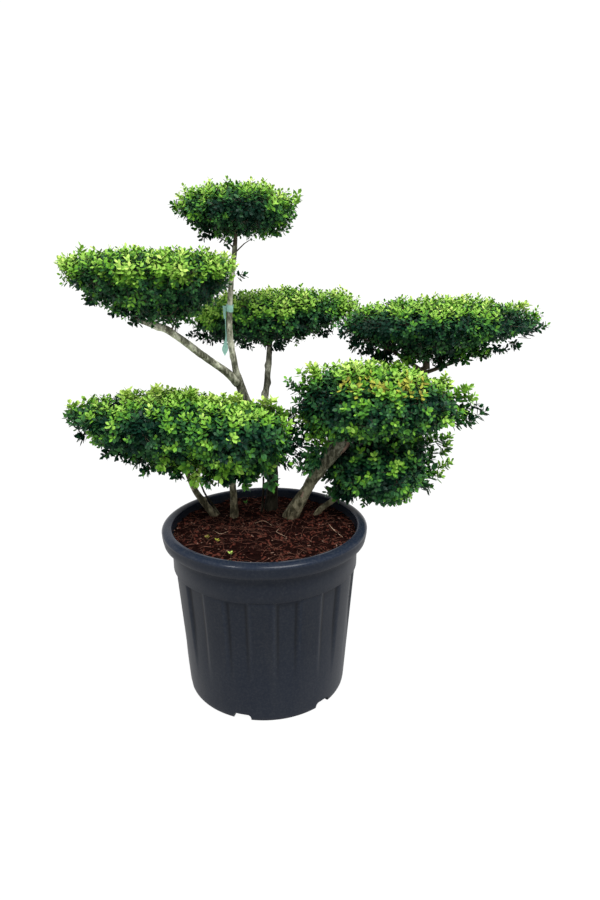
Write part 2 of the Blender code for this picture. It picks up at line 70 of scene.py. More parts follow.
def smoothstep(low, high, value):
    share = min(1.0, max(0.0, (value - low) / (high - low)))
    return share * share * (3 - 2 * share)


def metres(*millimetres):
    return Vector([value / 1000 for value in millimetres])


def newObject(name, data):
    made = bpy.data.objects.new(name, data)
    bpy.context.scene.collection.objects.link(made)
    return made


def meshObject(name, points, faces, material, smooth=True, sharpAngle=None):
    mesh = bpy.data.meshes.new(name)
    mesh.from_pydata([tuple(p) for p in points], [], faces)
    if smooth:
        mesh.shade_smooth()
    if sharpAngle:
        mesh.set_sharp_from_angle(angle=math.radians(sharpAngle))
    if material:
        mesh.materials.append(material)
    return newObject(name, mesh)


def bridge(low, high, count):
    # four-sided faces from one ring of points to the next
    return [(low + k, low + (k + 1) % count, high + (k + 1) % count, high + k) for k in range(count)]


def ringFaces(rows, count):
    return [face for row in range(rows - 1) for face in bridge(row * count, (row + 1) * count, count)]


def cap(first, count):
    return tuple(range(first, first + count))


def tubeFaces(rows, count, base=0):
    faces = [cap(0, count)[::-1], *ringFaces(rows, count), cap((rows - 1) * count, count)]
    return [tuple(base + k for k in face) for face in faces]


def fan(ring, count, tip):
    return [(ring + k, ring + (k + 1) % count, tip) for k in range(count)]


def circle(centre, side, up, reach, count):
    turns = [tau * k / count for k in range(count)]
    return [centre + (side * math.cos(turn) + up * math.sin(turn)) * reach for turn in turns]


def settle(piece):
    # turns live modifiers into a plain mesh, so that nothing is left to evaluate
    depsgraph = bpy.context.evaluated_depsgraph_get()
    mesh = bpy.data.meshes.new_from_object(piece.evaluated_get(depsgraph))
    mesh.name = piece.name
    piece.modifiers.clear()
    piece.data = mesh
    return piece


def addToPart(piece, slot, *replaced):
    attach(piece, "root")
    if replaced:
        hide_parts(*replaced)
    return piece


def drop(*objects):
    for item in objects:
        bpy.data.objects.remove(item, do_unlink=True)


# nodes, for materials and for geometry

def feed(node, inputs):
    # each input takes a plain value, or a link from another node's socket
    for key, value in inputs.items():
        if isinstance(value, bpy.types.NodeSocket):
            node.id_data.links.new(value, node.inputs[key])
        else:
            node.inputs[key].default_value = value
    return node


def addNode(tree, kind, inputs={}, **settings):
    made = tree.nodes.new(kind)
    for name, value in settings.items():
        setattr(made, name, value)
    return feed(made, inputs)


def calculate(tree, operation, *values):
    return addNode(tree, "ShaderNodeMath", dict(enumerate(values)), operation=operation).outputs[0]


def newMaterial(name, roughness=0.5, specular=0.5):
    material = bpy.data.materials.new(name)
    material.use_nodes = True
    shader = material.node_tree.nodes["Principled BSDF"]
    feed(shader, {"Roughness": roughness, "Specular IOR Level": specular})
    return material, material.node_tree, shader


def plainMaterial(name, colour, roughness, specular):
    material, _, shader = newMaterial(name, roughness, specular)
    feed(shader, {"Base Color": (*colour, 1.0)})
    material.diffuse_color = (*colour, 1.0)
    return material


def ownPlace(tree):
    return addNode(tree, "ShaderNodeTexCoord").outputs["Object"]


def ownAxes(tree):
    return addNode(tree, "ShaderNodeSeparateXYZ", {"Vector": ownPlace(tree)}).outputs


def objectNoise(tree, scale, detail=4.0, stretch=(1, 1, 1), roughness=0.55):
    mapping = addNode(tree, "ShaderNodeMapping", {"Scale": stretch, "Vector": ownPlace(tree)})
    return addNode(tree, "ShaderNodeTexNoise", {
        "Scale": scale, "Detail": detail, "Roughness": roughness, "Vector": mapping.outputs["Vector"]}).outputs["Fac"]


def ramp(tree, value, *stops):
    # each stop is its place, then its colour
    made = addNode(tree, "ShaderNodeValToRGB", {"Fac": value})
    while len(made.color_ramp.elements) < len(stops):
        made.color_ramp.elements.new(0.5)
    for element, (place, *colour) in zip(made.color_ramp.elements, stops):
        element.position = place
        element.color = (*colour, 1.0)
    return made.outputs["Color"]


def mixColours(tree, share, first, second, mode="MIX"):
    return addNode(tree, "ShaderNodeMix", {"Factor": share, 6: first, 7: second}, data_type="RGBA",
                   blend_type=mode).outputs[2]


def multiply(tree, first, second):
    return mixColours(tree, 1.0, first, second, "MULTIPLY")


def mapRange(tree, value, start, end, low, high):
    return addNode(tree, "ShaderNodeMapRange", {"From Min": start, "From Max": end, "To Min": low, "To Max": high,
                                                "Value": value}).outputs["Result"]


def alongAxis(tree, axis, start, end, low=0.0, high=1.0):
    # runs from low to high between two places on one of the object's own axes
    return mapRange(tree, ownAxes(tree)[axis], start, end, low, high)


def bump(tree, shader, height, strength, distance, under=None):
    made = addNode(tree, "ShaderNodeBump", {"Strength": strength, "Distance": distance, "Height": height})
    if under:
        feed(made, {"Normal": under})
    feed(shader, {"Normal": made.outputs["Normal"]})
    return made.outputs["Normal"]


def paintedPanelLight(tree):
    # painted shade darkens the crease beside each raised panel and a painted highlight makes its edge paler, by the
    # turn round the pot
    axes = ownAxes(tree)
    turn = calculate(tree, "ARCTAN2", axes["Y"], axes["X"])
    halfPanel = 9.5 - math.degrees(pot["panelTurn"]) * pot["panels"] / 360
    place = calculate(tree, "FRACT", calculate(tree, "MULTIPLY_ADD", turn, pot["panels"] / tau, halfPanel))
    lines = ((0.14, 0.52), (0.185, 0.22), (0.225, 0.48), (0.265, 0.66), (0.31, 0.50),
             (0.69, 0.50), (0.735, 0.66), (0.775, 0.48), (0.815, 0.22), (0.86, 0.52))
    tone = ramp(tree, place, *((at, grey, grey * 0.96, grey * 0.90) for at, grey in lines))
    return tone, multiply(tree, alongAxis(tree, "Z", 0.12, 0.26), alongAxis(tree, "Z", 0.376, 0.384, 1.0, 0.0))


def potMaterial():
    # blue-black, scuffed and dusty below, smoother on the rolled crest, where a painted highlight makes it paler
    material, tree, shader = newMaterial("potPlastic", 0.42, 0.135)
    streaks = objectNoise(tree, 30.0, 4.0, stretch=(1, 1, 0.06))
    base = ramp(tree, objectNoise(tree, 7.0, 6.0), (0.30, 0.005, 0.008, 0.015), (0.70, 0.009, 0.0125, 0.020))
    worn = ramp(tree, objectNoise(tree, 160.0, 8.0, roughness=0.75),
                (0.46, 0.005, 0.008, 0.015), (0.70, 0.042, 0.045, 0.048))
    runs = ramp(tree, streaks, (0.45, 0.005, 0.008, 0.016), (0.85, 0.018, 0.020, 0.025))
    colour = mixColours(tree, 0.30, mixColours(tree, 0.40, base, worn), runs)
    tone, zone = paintedPanelLight(tree)
    # the panels' painted shade and highlight, laid on the colour within the panel zone
    paintedPanels = multiply(tree, colour, tone)
    colour = mixColours(tree, zone, colour, mixColours(tree, 1.0, paintedPanels, paintedPanels, "ADD"))
    # painted highlight: the colour is raised on the rolled crest
    feed(shader, {"Base Color": multiply(tree, colour, alongAxis(tree, "Z", 0.500, 0.508, 1.0, 1.7)),
                  "Roughness": alongAxis(tree, "Z", 0.500, 0.508, 0.46, 0.17)})
    fine = bump(tree, shader, objectNoise(tree, 900.0, 3.0), 0.16, 0.0005)
    bump(tree, shader, streaks, 0.10, 0.002, under=fine)
    return material


def soilMaterial(name, dark, light, scale=300.0):
    material, tree, shader = newMaterial(name, 0.95, 0.02)
    grain = objectNoise(tree, scale, 8.0, roughness=0.7)
    feed(shader, {"Base Color": ramp(tree, grain, (0.30, *dark), (0.72, *light))})
    bump(tree, shader, grain, 0.8, 0.003)
    return material


def barkMaterial():
    # olive grey with pale blotches; darker and browner towards the soil, partly a browner bark and partly painted
    # shade, with painted light brightening the upper boughs, painted shade on the back stem and the darkest painted
    # shade on the middle trunk
    material, tree, shader = newMaterial("bark", 0.80, 0.12)
    grain = objectNoise(tree, 150.0, 8.0, stretch=(1, 1, 0.20), roughness=0.72)
    base = ramp(tree, grain, (0.38, 0.016, 0.017, 0.011), (0.50, 0.150, 0.155, 0.108), (0.61, 0.800, 0.820, 0.660))
    tone = ramp(tree, objectNoise(tree, 38.0, 5.0, stretch=(1, 1, 0.6)),
                (0.42, 0.028, 0.029, 0.020), (0.50, 0.150, 0.154, 0.112), (0.60, 0.720, 0.740, 0.590))
    lichen = ramp(tree, objectNoise(tree, 75.0, 4.0), (0.54, 0.130, 0.132, 0.092), (0.66, 0.740, 0.770, 0.610))
    colour = mixColours(tree, 0.25, mixColours(tree, 0.58, base, tone), lichen)
    # browner bark low down, with painted shade there and painted light up in the boughs
    colour = multiply(tree, colour, ramp(tree, alongAxis(tree, "Z", 0.48, 1.00), (0.0, 0.54, 0.46, 0.37),
                                         (0.3, 0.62, 0.60, 0.51), (0.6, 0.68, 0.67, 0.63), (1.0, 1.36, 1.33, 1.34)))
    # painted shade on the limbs further back, above the pot
    paintedBackShade = ramp(tree, alongAxis(tree, "Y", 0.110, 0.190),
                     (0.0, 1.0, 1.0, 1.0), (0.45, 0.66, 0.66, 0.66), (1.0, 0.38, 0.38, 0.38))
    lit = multiply(tree, alongAxis(tree, "Z", 0.60, 0.72), paintedBackShade)
    # painted shade darkens the middle trunk low down, under and behind the crowns
    dim = calculate(tree, "MAXIMUM", alongAxis(tree, "Y", 0.104, 0.122, 1.0, 0.12), lit)
    feed(shader, {"Base Color": multiply(tree, colour, dim)})
    bump(tree, shader, grain, 0.9, 0.0022)
    return material


def sawnMaterial():
    # pale reddish end grain
    material, tree, shader = newMaterial("sawnWood", 0.75, 0.25)
    grain = objectNoise(tree, 220.0, 6.0)
    wood = ramp(tree, objectNoise(tree, 70.0, 4.0), (0.35, 0.200, 0.120, 0.085), (0.68, 0.420, 0.290, 0.215))
    fleck = ramp(tree, grain, (0.35, 0.130, 0.080, 0.060), (0.70, 0.460, 0.330, 0.250))
    feed(shader, {"Base Color": mixColours(tree, 0.40, wood, fleck)})
    bump(tree, shader, grain, 0.5, 0.001)
    return material


def tieMaterial():
    material, tree, shader = newMaterial("tiePlastic", 0.42, 0.5)
    cloud = objectNoise(tree, 120.0, 3.0)
    feed(shader, {"Base Color": ramp(tree, cloud, (0.3, 0.230, 0.470, 0.400), (0.7, 0.340, 0.600, 0.520))})
    bump(tree, shader, cloud, 0.15, 0.0006)
    return material


# foliage tints, from the newest lit tips to the oldest shaded leaves: the lightest are dealt as painted light, the
# darkest as painted shade
tints = {
    "leafPale": (0.440, 0.615, 0.135), "leafLime": (0.245, 0.450, 0.068), "leafBright": (0.134, 0.325, 0.030),
    "leafFresh": (0.064, 0.200, 0.028), "leafMid": (0.031, 0.112, 0.031), "leafDeep": (0.011, 0.057, 0.018),
    "leafShade": (0.003, 0.025, 0.013), "leafGold": (0.330, 0.345, 0.050), "leafBronze": (0.205, 0.190, 0.036),
}
leafMaterials = [plainMaterial(name, colour, 0.45, 0.08 if colour[1] > 0.15 else 0.15)
                 for name, colour in tints.items()]
tintNumber = {name: k for k, name in enumerate(tints)}
twigMaterial = plainMaterial("twigBark", (0.085, 0.068, 0.047), 0.80, 0.15)
bark = barkMaterial()
print("materials ready")


# geometry nodes: one tree for each thing that repeats

def newTree(name, sizes):
    tree = bpy.data.node_groups.new(name, "GeometryNodeTree")
    tree.interface.new_socket("Geometry", in_out="INPUT", socket_type="NodeSocketGeometry")
    for label, (kind, value) in sizes.items():
        socket = tree.interface.new_socket(label, in_out="INPUT", socket_type=f"NodeSocket{kind}")
        if value is not None:
            socket.default_value = value
    tree.interface.new_socket("Geometry", in_out="OUTPUT", socket_type="NodeSocketGeometry")
    return tree, addNode(tree, "NodeGroupInput").outputs


def finishTree(tree, shape):
    feed(addNode(tree, "NodeGroupOutput"), {"Geometry": shape.outputs["Geometry"]})
    return tree


def attribute(tree, name, kind):
    return addNode(tree, "GeometryNodeInputNamedAttribute", {"Name": name}, data_type=kind).outputs["Attribute"]


def applyTree(piece, tree, values):
    modifier = piece.modifiers.new(tree.name, "NODES")
    modifier.node_group = tree
    for item in tree.interface.items_tree:
        if item.item_type == "SOCKET" and item.in_out == "INPUT" and item.name in values:
            modifier[item.identifier] = values[item.name]
    return settle(piece)


def leafTree():
    # one leaf on every point, turned to the point's own ahead and face, painted by its tint
    tree, given = newTree("standLeavesOnPoints", {"Leaf": ("Object", None), "Size": ("Float", 1.0)})
    leaf = addNode(tree, "GeometryNodeObjectInfo", {"Object": given["Leaf"]})
    turn = addNode(tree, "FunctionNodeAxesToRotation", {
        "Primary Axis": attribute(tree, "ahead", "FLOAT_VECTOR"),
        "Secondary Axis": attribute(tree, "face", "FLOAT_VECTOR")}, primary_axis="Y", secondary_axis="Z")
    place = addNode(tree, "GeometryNodeInstanceOnPoints", {
        "Points": given["Geometry"], "Instance": leaf.outputs["Geometry"], "Rotation": turn.outputs["Rotation"],
        "Scale": calculate(tree, "MULTIPLY", attribute(tree, "reach", "FLOAT"), given["Size"])})
    shape = addNode(tree, "GeometryNodeRealizeInstances", {"Geometry": place.outputs["Instances"]})
    for number, material in enumerate(leafMaterials):
        same = addNode(tree, "FunctionNodeCompare", {"A": attribute(tree, "tint", "INT"), "B": number},
                       data_type="INT", operation="EQUAL")
        shape = addNode(tree, "GeometryNodeSetMaterial", {
            "Geometry": shape.outputs["Geometry"], "Selection": same.outputs["Result"], "Material": material})
    return finishTree(tree, shape)


def scatterTree():
    # loose pieces strewn over the upward faces of a surface
    tree, given = newTree("strewOnSurface", {
        "Pieces": ("Collection", None), "Density": ("Float", 1000.0), "Smallest": ("Float", 0.6),
        "Largest": ("Float", 1.4), "Tilt": ("Float", 0.5), "Lift": ("Float", 0.001), "Seed": ("Int", 1),
        "Material": ("Material", None)})
    normal = addNode(tree, "GeometryNodeInputNormal").outputs["Normal"]
    rise = addNode(tree, "ShaderNodeSeparateXYZ", {"Vector": normal}).outputs["Z"]
    upward = addNode(tree, "FunctionNodeCompare", {"A": rise, "B": 0.5}, operation="GREATER_THAN")
    points = addNode(tree, "GeometryNodeDistributePointsOnFaces", {
        "Mesh": given["Geometry"], "Selection": upward.outputs["Result"], "Density": given["Density"],
        "Seed": given["Seed"]})
    kinds = addNode(tree, "GeometryNodeCollectionInfo", {
        "Collection": given["Pieces"], "Separate Children": True, "Reset Children": True})
    tilt = addNode(tree, "ShaderNodeCombineXYZ", {"X": given["Tilt"], "Y": given["Tilt"], "Z": tau}).outputs["Vector"]
    low = addNode(tree, "ShaderNodeVectorMath", {0: tilt, "Scale": -1.0}, operation="SCALE").outputs["Vector"]
    turn = addNode(tree, "FunctionNodeRandomValue", {"Min": low, "Max": tilt, "Seed": given["Seed"]},
                   data_type="FLOAT_VECTOR")
    size = addNode(tree, "FunctionNodeRandomValue", {
        "Min": given["Smallest"], "Max": given["Largest"], "Seed": given["Seed"]})
    place = addNode(tree, "GeometryNodeInstanceOnPoints", {
        "Points": points.outputs["Points"], "Instance": kinds.outputs["Instances"], "Pick Instance": True,
        "Rotation": turn.outputs["Value"], "Scale": size.outputs["Value"]})
    lift = addNode(tree, "ShaderNodeCombineXYZ", {"Z": given["Lift"]})
    move = addNode(tree, "GeometryNodeTranslateInstances", {
        "Instances": place.outputs["Instances"], "Translation": lift.outputs["Vector"], "Local Space": False})
    real = addNode(tree, "GeometryNodeRealizeInstances", {"Geometry": move.outputs["Instances"]})
    return finishTree(tree, addNode(tree, "GeometryNodeSetMaterial", {
        "Geometry": real.outputs["Geometry"], "Material": given["Material"]}))


# pot: turned wall, sizes as in the solid

potLow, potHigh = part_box("pot")
pot = {
    "height": potHigh.z, "lip": 0.301, "crest": 0.283, "innerLip": 0.272, "lipDrop": 0.042,
    "collar": 0.272, "collarBottom": 0.392, "bodyTop": 0.268, "base": 0.2385, "baseRound": 0.008,
    "panels": 12, "panelTurn": math.radians(0.5), "panelWidth": math.radians(16.0),
    "panelEdge": math.radians(1.4), "panelDepth": 0.007, "fadeLow": 0.07, "fadeHigh": 0.30,
    "ledge": 0.007, "setback": 0.012, "floor": 0.026, "columns": 360,
    "notches": 6, "notchTurn": math.radians(-14.7), "notchWidth": 0.053, "notchHeight": 0.020,
    "notchReach": 0.045, "notchPast": 0.02,
    "seams": (math.radians(-1.6), math.radians(1.4), math.radians(178.4)),
    "seamHeight": 0.0013, "seamSink": 0.0011, "seamWidth": math.radians(0.28), "soilLevel": 0.487,
}


def around(turn, radius, height):
    return Vector((radius * math.sin(turn), -radius * math.cos(turn), height))


def bodyRadius(height):
    return lerp(pot["base"], pot["bodyTop"], height / pot["collarBottom"])


def recessShare(turn):
    # 0 on a raised panel, 1 in a recess, easing across each panel's edge
    period = tau / pot["panels"]
    offset = abs((turn - pot["panelTurn"] + period / 2) % period - period / 2)
    return smoothstep(pot["panelWidth"] / 2 - pot["panelEdge"], pot["panelWidth"] / 2 + pot["panelEdge"], offset)


def wallRadius(turn, height):
    depth = pot["panelDepth"] * smoothstep(pot["fadeLow"], pot["fadeHigh"], height)
    depth *= 1 - smoothstep(pot["collarBottom"] - pot["ledge"], pot["collarBottom"], height)
    return bodyRadius(height) - depth * recessShare(turn)


def innerRadius(height):
    body = pot["bodyTop"] - pot["setback"]
    if height > pot["collarBottom"]:
        share = (height - pot["collarBottom"]) / (pot["soilLevel"] - pot["collarBottom"])
        return lerp(body, pot["innerLip"] - 0.003, share)
    return lerp(pot["base"] - pot["setback"], body, height / pot["collarBottom"])


def arcRows(radius, height, wide, tall, start, stop, steps):
    rows = []
    for k in range(steps + 1):
        turn = math.radians(lerp(start, stop, k / steps))
        rows.append((height + tall * math.sin(turn), radius + wide * math.cos(turn)))
    return rows


def potRows():
    top, low = pot["height"], pot["height"] - pot["lipDrop"]
    foot = [(0.0, 0.020), (0.0, 0.12), (0.0, 0.19)]
    foot += arcRows(pot["base"] - pot["baseRound"], pot["baseRound"], pot["baseRound"], pot["baseRound"],
                    -90, -15, 5)
    wall = [(h, None) for h in np.linspace(0.014, pot["collarBottom"] - 0.009, 26)]
    wall += [(pot["collarBottom"] - d, None) for d in (0.0065, 0.004, 0.002, 0.0005)]
    collar = [(pot["collarBottom"] + 0.0003, pot["collar"] - 0.0008),
              (pot["collarBottom"] + 0.0010, pot["collar"]), (low - 0.025, pot["collar"] + 0.0006),
              (low - 0.004, pot["collar"] + 0.0012), (low - 0.001, pot["collar"] + 0.0040)]
    lip = [(low, pot["lip"] - 0.0110), (low + 0.0002, pot["lip"] - 0.0058), (low + 0.0012, pot["lip"] - 0.0046),
           (low + 0.012, pot["lip"] - 0.0024), (top - 0.020, pot["lip"] - 0.0008), (top - 0.015, pot["lip"])]
    lip += arcRows(pot["crest"], top - 0.012, pot["lip"] - pot["crest"], 0.012, 8, 90, 9)
    lip += arcRows(pot["innerLip"] + 0.006, top - 0.006, -0.006, 0.0055, 70, 0, 5)
    inside = [(top - 0.010, pot["innerLip"]), (pot["soilLevel"] + 0.004, pot["innerLip"] - 0.0018)]
    inside += [(h, innerRadius(h)) for h in (pot["soilLevel"], pot["collarBottom"], pot["floor"])]
    return foot + wall + collar + lip + inside


def makePot():
    count, rows, points = pot["columns"], potRows(), []
    for height, radius in rows:
        for k in range(count):
            turn = tau * k / count
            reach = wallRadius(turn, height) if radius is None else radius
            if radius and reach > pot["crest"] - 0.001 and height > pot["collarBottom"]:
                for seam in pot["seams"]:
                    away = (turn - seam + math.pi) % tau - math.pi
                    reach += (pot["seamHeight"] * math.exp(-(away / pot["seamWidth"]) ** 2)
                              - (pot["seamSink"] if reach >= pot["lip"] else 0.0))
            points.append(around(turn, reach, height))
    made = meshObject("pot_wall", points, tubeFaces(len(rows), count), potMaterial(), sharpAngle=50)
    cutters = [notchCutter(pot["notchTurn"] + k * tau / pot["notches"], k) for k in range(pot["notches"])]
    for cutter in cutters:
        made.modifiers.new(cutter.name, "BOOLEAN").object = cutter
    settle(made)
    drop(*cutters)
    addToPart(made, "pot_plastic", "pot")


def notchCutter(turn, number):
    half, tall = pot["notchWidth"] / 2, pot["notchHeight"]
    corner = [(half * 0.62 + half * 0.38 * math.cos(a), tall * 0.45 + tall * 0.55 * math.sin(a))
              for a in np.linspace(0.3, math.pi / 2, 5)]
    right = [(half, -0.01), (half, tall * 0.45), *corner]
    arch = right + [(-x, z) for x, z in right[::-1]]
    out = around(turn, 1.0, 0.0)
    side = Vector((-out.y, out.x, 0.0))
    points = [out * radius + side * x + Vector((0, 0, z))
              for radius in (pot["base"] - pot["notchReach"], pot["base"] + pot["notchPast"]) for x, z in arch]
    return meshObject(f"notch{number}", points, tubeFaces(2, len(arch)), None, smooth=False)


makePot()
print("pot ready")


# soil: a bumpy body inside the pot, with bark chips and coir fibres strewn on it

soil = {
    "level": 0.487, "gap": 0.0012, "columns": 150, "rings": 60, "rise": 0.0035, "bump": 0.0042,
    "bumpScale": 28.0, "swell": 0.006, "swellScale": 7.0, "edge": (0.19, 0.262), "edgeDrop": 0.003,
    "fibreLength": 0.036, "fibreSteps": 9, "seed": 7,
    "chips": ((0.011, 0.006, 0.0028), (0.008, 0.006, 0.003), (0.015, 0.0045, 0.0022), (0.006, 0.005, 0.0035)),
    # seed, number on a square metre, smallest, largest, tilt and lift
    "strewn": {"redBark": (1, 3100, 0.5, 1.9, 0.55, 0.0012), "darkBark": (2, 3600, 0.7, 2.0, 0.55, 0.0012),
               "paleBark": (3, 620, 0.3, 1.1, 0.55, 0.0012), "coir": (9, 2700, 0.5, 1.5, 0.22, 0.0026)},
    "straws": [(0.0009, (0.188, 0.015), (0.203, -0.020), (0.227, -0.071)),
               (0.0005, (-0.032, 0.021), (-0.006, 0.044), (0.020, 0.007)),
               (0.0005, (0.046, -0.002), (0.036, -0.045), (0.066, -0.077)),
               (0.0005, (-0.150, -0.030), (-0.128, -0.052), (-0.104, -0.040))],
    "seedlings": [(-0.080, -0.206, 0.026, 6, "leafPale"), (-0.158, -0.091, 0.014, 5, "leafBronze"),
                  (-0.129, -0.111, 0.012, 5, "leafGold"), (-0.071, 0.165, 0.018, 6, "leafFresh")],
}
soilColours = {
    "redBark": ((0.014, 0.0032, 0.0022), (0.145, 0.045, 0.031)),
    "darkBark": ((0.004, 0.0014, 0.0012), (0.021, 0.0065, 0.0052)),
    "paleBark": ((0.100, 0.050, 0.034), (0.330, 0.210, 0.160)),
    "coir": ((0.018, 0.0055, 0.0040), (0.270, 0.125, 0.088)),
    "straw": ((0.330, 0.210, 0.130), (0.640, 0.480, 0.350)),
}


def soilHeight(x, y):
    # gently dished, with a crumbly top
    spot = Vector((x, y, 0.0)) * soil["bumpScale"]
    crumb = noise.fractal(spot, 0.7, 2.1, 4) * soil["bump"]
    swell = soil["swell"] * noise.noise(Vector((x, y, 0.3)) * soil["swellScale"])
    edge = smoothstep(*soil["edge"], math.hypot(x, y))
    return soil["level"] + soil["rise"] + crumb + swell * (1 - edge) - soil["edgeDrop"] * edge


def makeSoil():
    count, rings = soil["columns"], soil["rings"]
    edge = innerRadius(soil["level"]) - soil["gap"]
    points = [around(tau * k / count, innerRadius(h) - soil["gap"], h)
              for h in (pot["floor"] + 0.001, pot["collarBottom"], soil["level"] - 0.004) for k in range(count)]
    for ring in range(rings):
        for k in range(count):
            place = around(tau * k / count, edge * (1 - ring / rings), 0.0)
            place.z = soilHeight(place.x, place.y)
            points.append(place)
    faces = [cap(0, count)[::-1], *ringFaces(rings + 3, count), *fan((rings + 2) * count, count, len(points))]
    points.append(Vector((0, 0, soilHeight(0, 0))))
    compost = soilMaterial("compost", (0.002, 0.0008, 0.0007), (0.014, 0.0045, 0.0035), 180.0)
    return addToPart(meshObject("soil_body", points, faces, compost), "soil_bark", "soil")


def collect(name, shapes, smooth):
    # shapes to pick from, kept out of the scene's own list
    pieces = bpy.data.collections.new(f"{name}Shapes")
    bpy.context.scene.collection.children.link(pieces)
    for number, (points, faces) in enumerate(shapes):
        made = meshObject(f"{name}{number}", points, faces, None, smooth)
        bpy.context.scene.collection.objects.unlink(made)
        pieces.objects.link(made)
    return pieces


def chipShapes(rng):
    # knobbly flattened chips
    shapes = []
    for size in soil["chips"]:
        ball = bmesh.new()
        bmesh.ops.create_icosphere(ball, subdivisions=1, radius=0.5)
        points = [vertex.co * rng.uniform(0.75, 1.2) * Vector(size) for vertex in ball.verts]
        shapes.append((points, [[vertex.index for vertex in face.verts] for face in ball.faces]))
        ball.free()
    return shapes


def fibreShapes(rng):
    # thin curved hairs
    shapes, steps, length = [], soil["fibreSteps"], soil["fibreLength"]
    for _ in range(4):
        bend, lift, phase = rng.uniform(-0.6, 0.6), rng.uniform(0.05, 0.22), rng.uniform(0, tau)
        points = []
        for k in range(steps):
            share = k / (steps - 1) - 0.5
            bow = length * (0.25 - share * share)
            centre = Vector((share * length, bend * bow + 0.0015 * math.sin(5 * share + phase), lift * bow))
            points += circle(centre, Vector((0, 1, 0)), Vector((0, 0, 1)), 0.00045 * (1.15 - abs(share) * 1.6), 3)
        shapes.append((points, tubeFaces(steps, 3)))
    return shapes


def strew(kind, pieces, seed, density, smallest, largest, tilt, lift):
    made = newObject(f"soil_{kind}", soilBody.data.copy())
    made.data.materials.clear()
    applyTree(made, strewing, {
        "Pieces": pieces, "Density": density, "Smallest": smallest, "Largest": largest, "Tilt": tilt, "Lift": lift,
        "Seed": seed, "Material": soilMaterial(kind, *soilColours[kind])})
    addToPart(made, "soil_bark")


rng = random.Random(soil["seed"])
strewing = scatterTree()
soilBody = makeSoil()
chips = collect("chip", chipShapes(rng), False)
fibres = collect("fibre", fibreShapes(rng), True)
for kind, plan in soil["strewn"].items():
    strew(kind, fibres if kind == "coir" else chips, *plan)
for pieces in (chips, fibres):
    drop(*pieces.objects)
    bpy.data.collections.remove(pieces)
print("soil ready")


# limbs: joints as in the solids, each x, y, z in millimetres and a radius in tenths of one; a child starts inside
# its parent, and a scar has two ends and a reach in the same units

limbs = {
    "leader": {
        "replaces": ["trunk_middle", "stem_top"], "sides": 30,
        "knots": [(0.36, 2.2, 0.4), (0.62, 3.6, 0.3), (0.66, 0.4, 0.35), (0.93, 3.5, 0.35)],
        "joints": [(10, 150, 485, 240), (13, 152, 528, 190), (17, 155, 610, 175), (10, 157, 690, 167),
                   (-20, 157, 760, 158), (-56, 155, 829, 146), (-73, 150, 877, 138), (-83, 143, 914, 126),
                   (-89, 139, 945, 96), (-100, 127, 1024, 86), (-101, 121, 1066, 83), (-98, 114, 1122, 79),
                   (-91, 106, 1192, 74), (-80, 97, 1265, 72), (-76, 93, 1295, 72)]},
    "stem_back": {
        "sides": 20, "collar": 0.35, "knots": [(0.5, 3.4, 0.5), (0.62, 0.2, 0.4), (0.8, 3.0, 0.45)],
        "joints": [(1, 158, 708, 108), (-4, 166, 767, 104), (-6, 178, 824, 100), (2, 205, 900, 95),
                   (7, 233, 965, 92), (9, 246, 996, 92)]},
    "bough_upper_left": {
        "sides": 22, "collar": 0.25, "knots": [(0.24, 5.2, 0.3), (0.79, 1.6, 0.4), (0.85, 4.6, 0.45)],
        "joints": [(-82, 145, 900, 128), (-111, 130, 931, 118), (-145, 103, 963, 106), (-183, 72, 998, 106),
                   (-216, 42, 1032, 100), (-243, 16, 1058, 98), (-264, 1, 1074, 100), (-290, -10, 1085, 96),
                   (-330, -20, 1101, 70)]},
    "trunk_right": {
        "sides": 34, "cut": True, "knots": [(0.2, 4.2, 0.22), (0.58, 0.2, 0.3), (0.74, 4.9, 0.22), (0.8, 2.8, 0.25)],
        "scars": [(226, 14, 706, 249, 10, 752, 105), (106, 50, 570, 111, 50, 583, 60)],
        "joints": [(72, 92, 485, 260), (101, 76, 545, 200), (123, 66, 586, 170), (140, 58, 620, 172),
                   (160, 50, 655, 185), (184, 42, 690, 200), (208, 34, 721, 208), (226, 28, 742, 206),
                   (238, 25, 757, 160)]},
    "bough_right": {
        "sides": 24, "collar": 0.3, "knots": [(0.55, 1.0, 0.4), (0.9, 5.0, 0.3)],
        "joints": [(180, 45, 686, 168), (208, 88, 742, 162), (268, 140, 802, 155), (350, 168, 858, 148),
                   (425, 176, 902, 140), (476, 174, 932, 132)]},
    "bough_centre_right": {
        "sides": 18, "collar": 0.4, "knots": [],
        "joints": [(196, 38, 704, 115), (203, 45, 738, 108), (214, 42, 764, 100)]},
    "stem_far_left": {
        "sides": 18, "knots": [(0.42, 0.3, 0.45)],
        "joints": [(-161, 100, 485, 125), (-183, 97, 517, 105), (-200, 92, 544, 97), (-218, 84, 579, 92),
                   (-230, 70, 621, 88)]},
    "stem_front_left": {
        "sides": 18, "knots": [(0.55, 4.4, 0.35)],
        "joints": [(-101, 88, 485, 140), (-100, 87, 536, 112), (-101, 78, 581, 104), (-102, 68, 615, 100)]},
    "stem_low_right": {
        "sides": 16, "knots": [],
        "joints": [(152, 100, 485, 115), (170, 103, 511, 94), (198, 104, 532, 89), (226, 104, 552, 86)]},
    "shoot_far_left": {
        "sides": 10, "knots": [],
        "joints": [(-148, 112, 485, 36), (-172, 120, 520, 32), (-194, 120, 556, 30), (-208, 114, 600, 28)]},
    "shoot_middle": {
        "sides": 10, "knots": [],
        "joints": [(-17, 127, 485, 42), (-12, 127, 550, 35), (-10, 120, 610, 30)]},
}
for plan in limbs.values():
    plan["joints"] = [(*metres(*place), radius / 10000) for *place, radius in plan["joints"]]
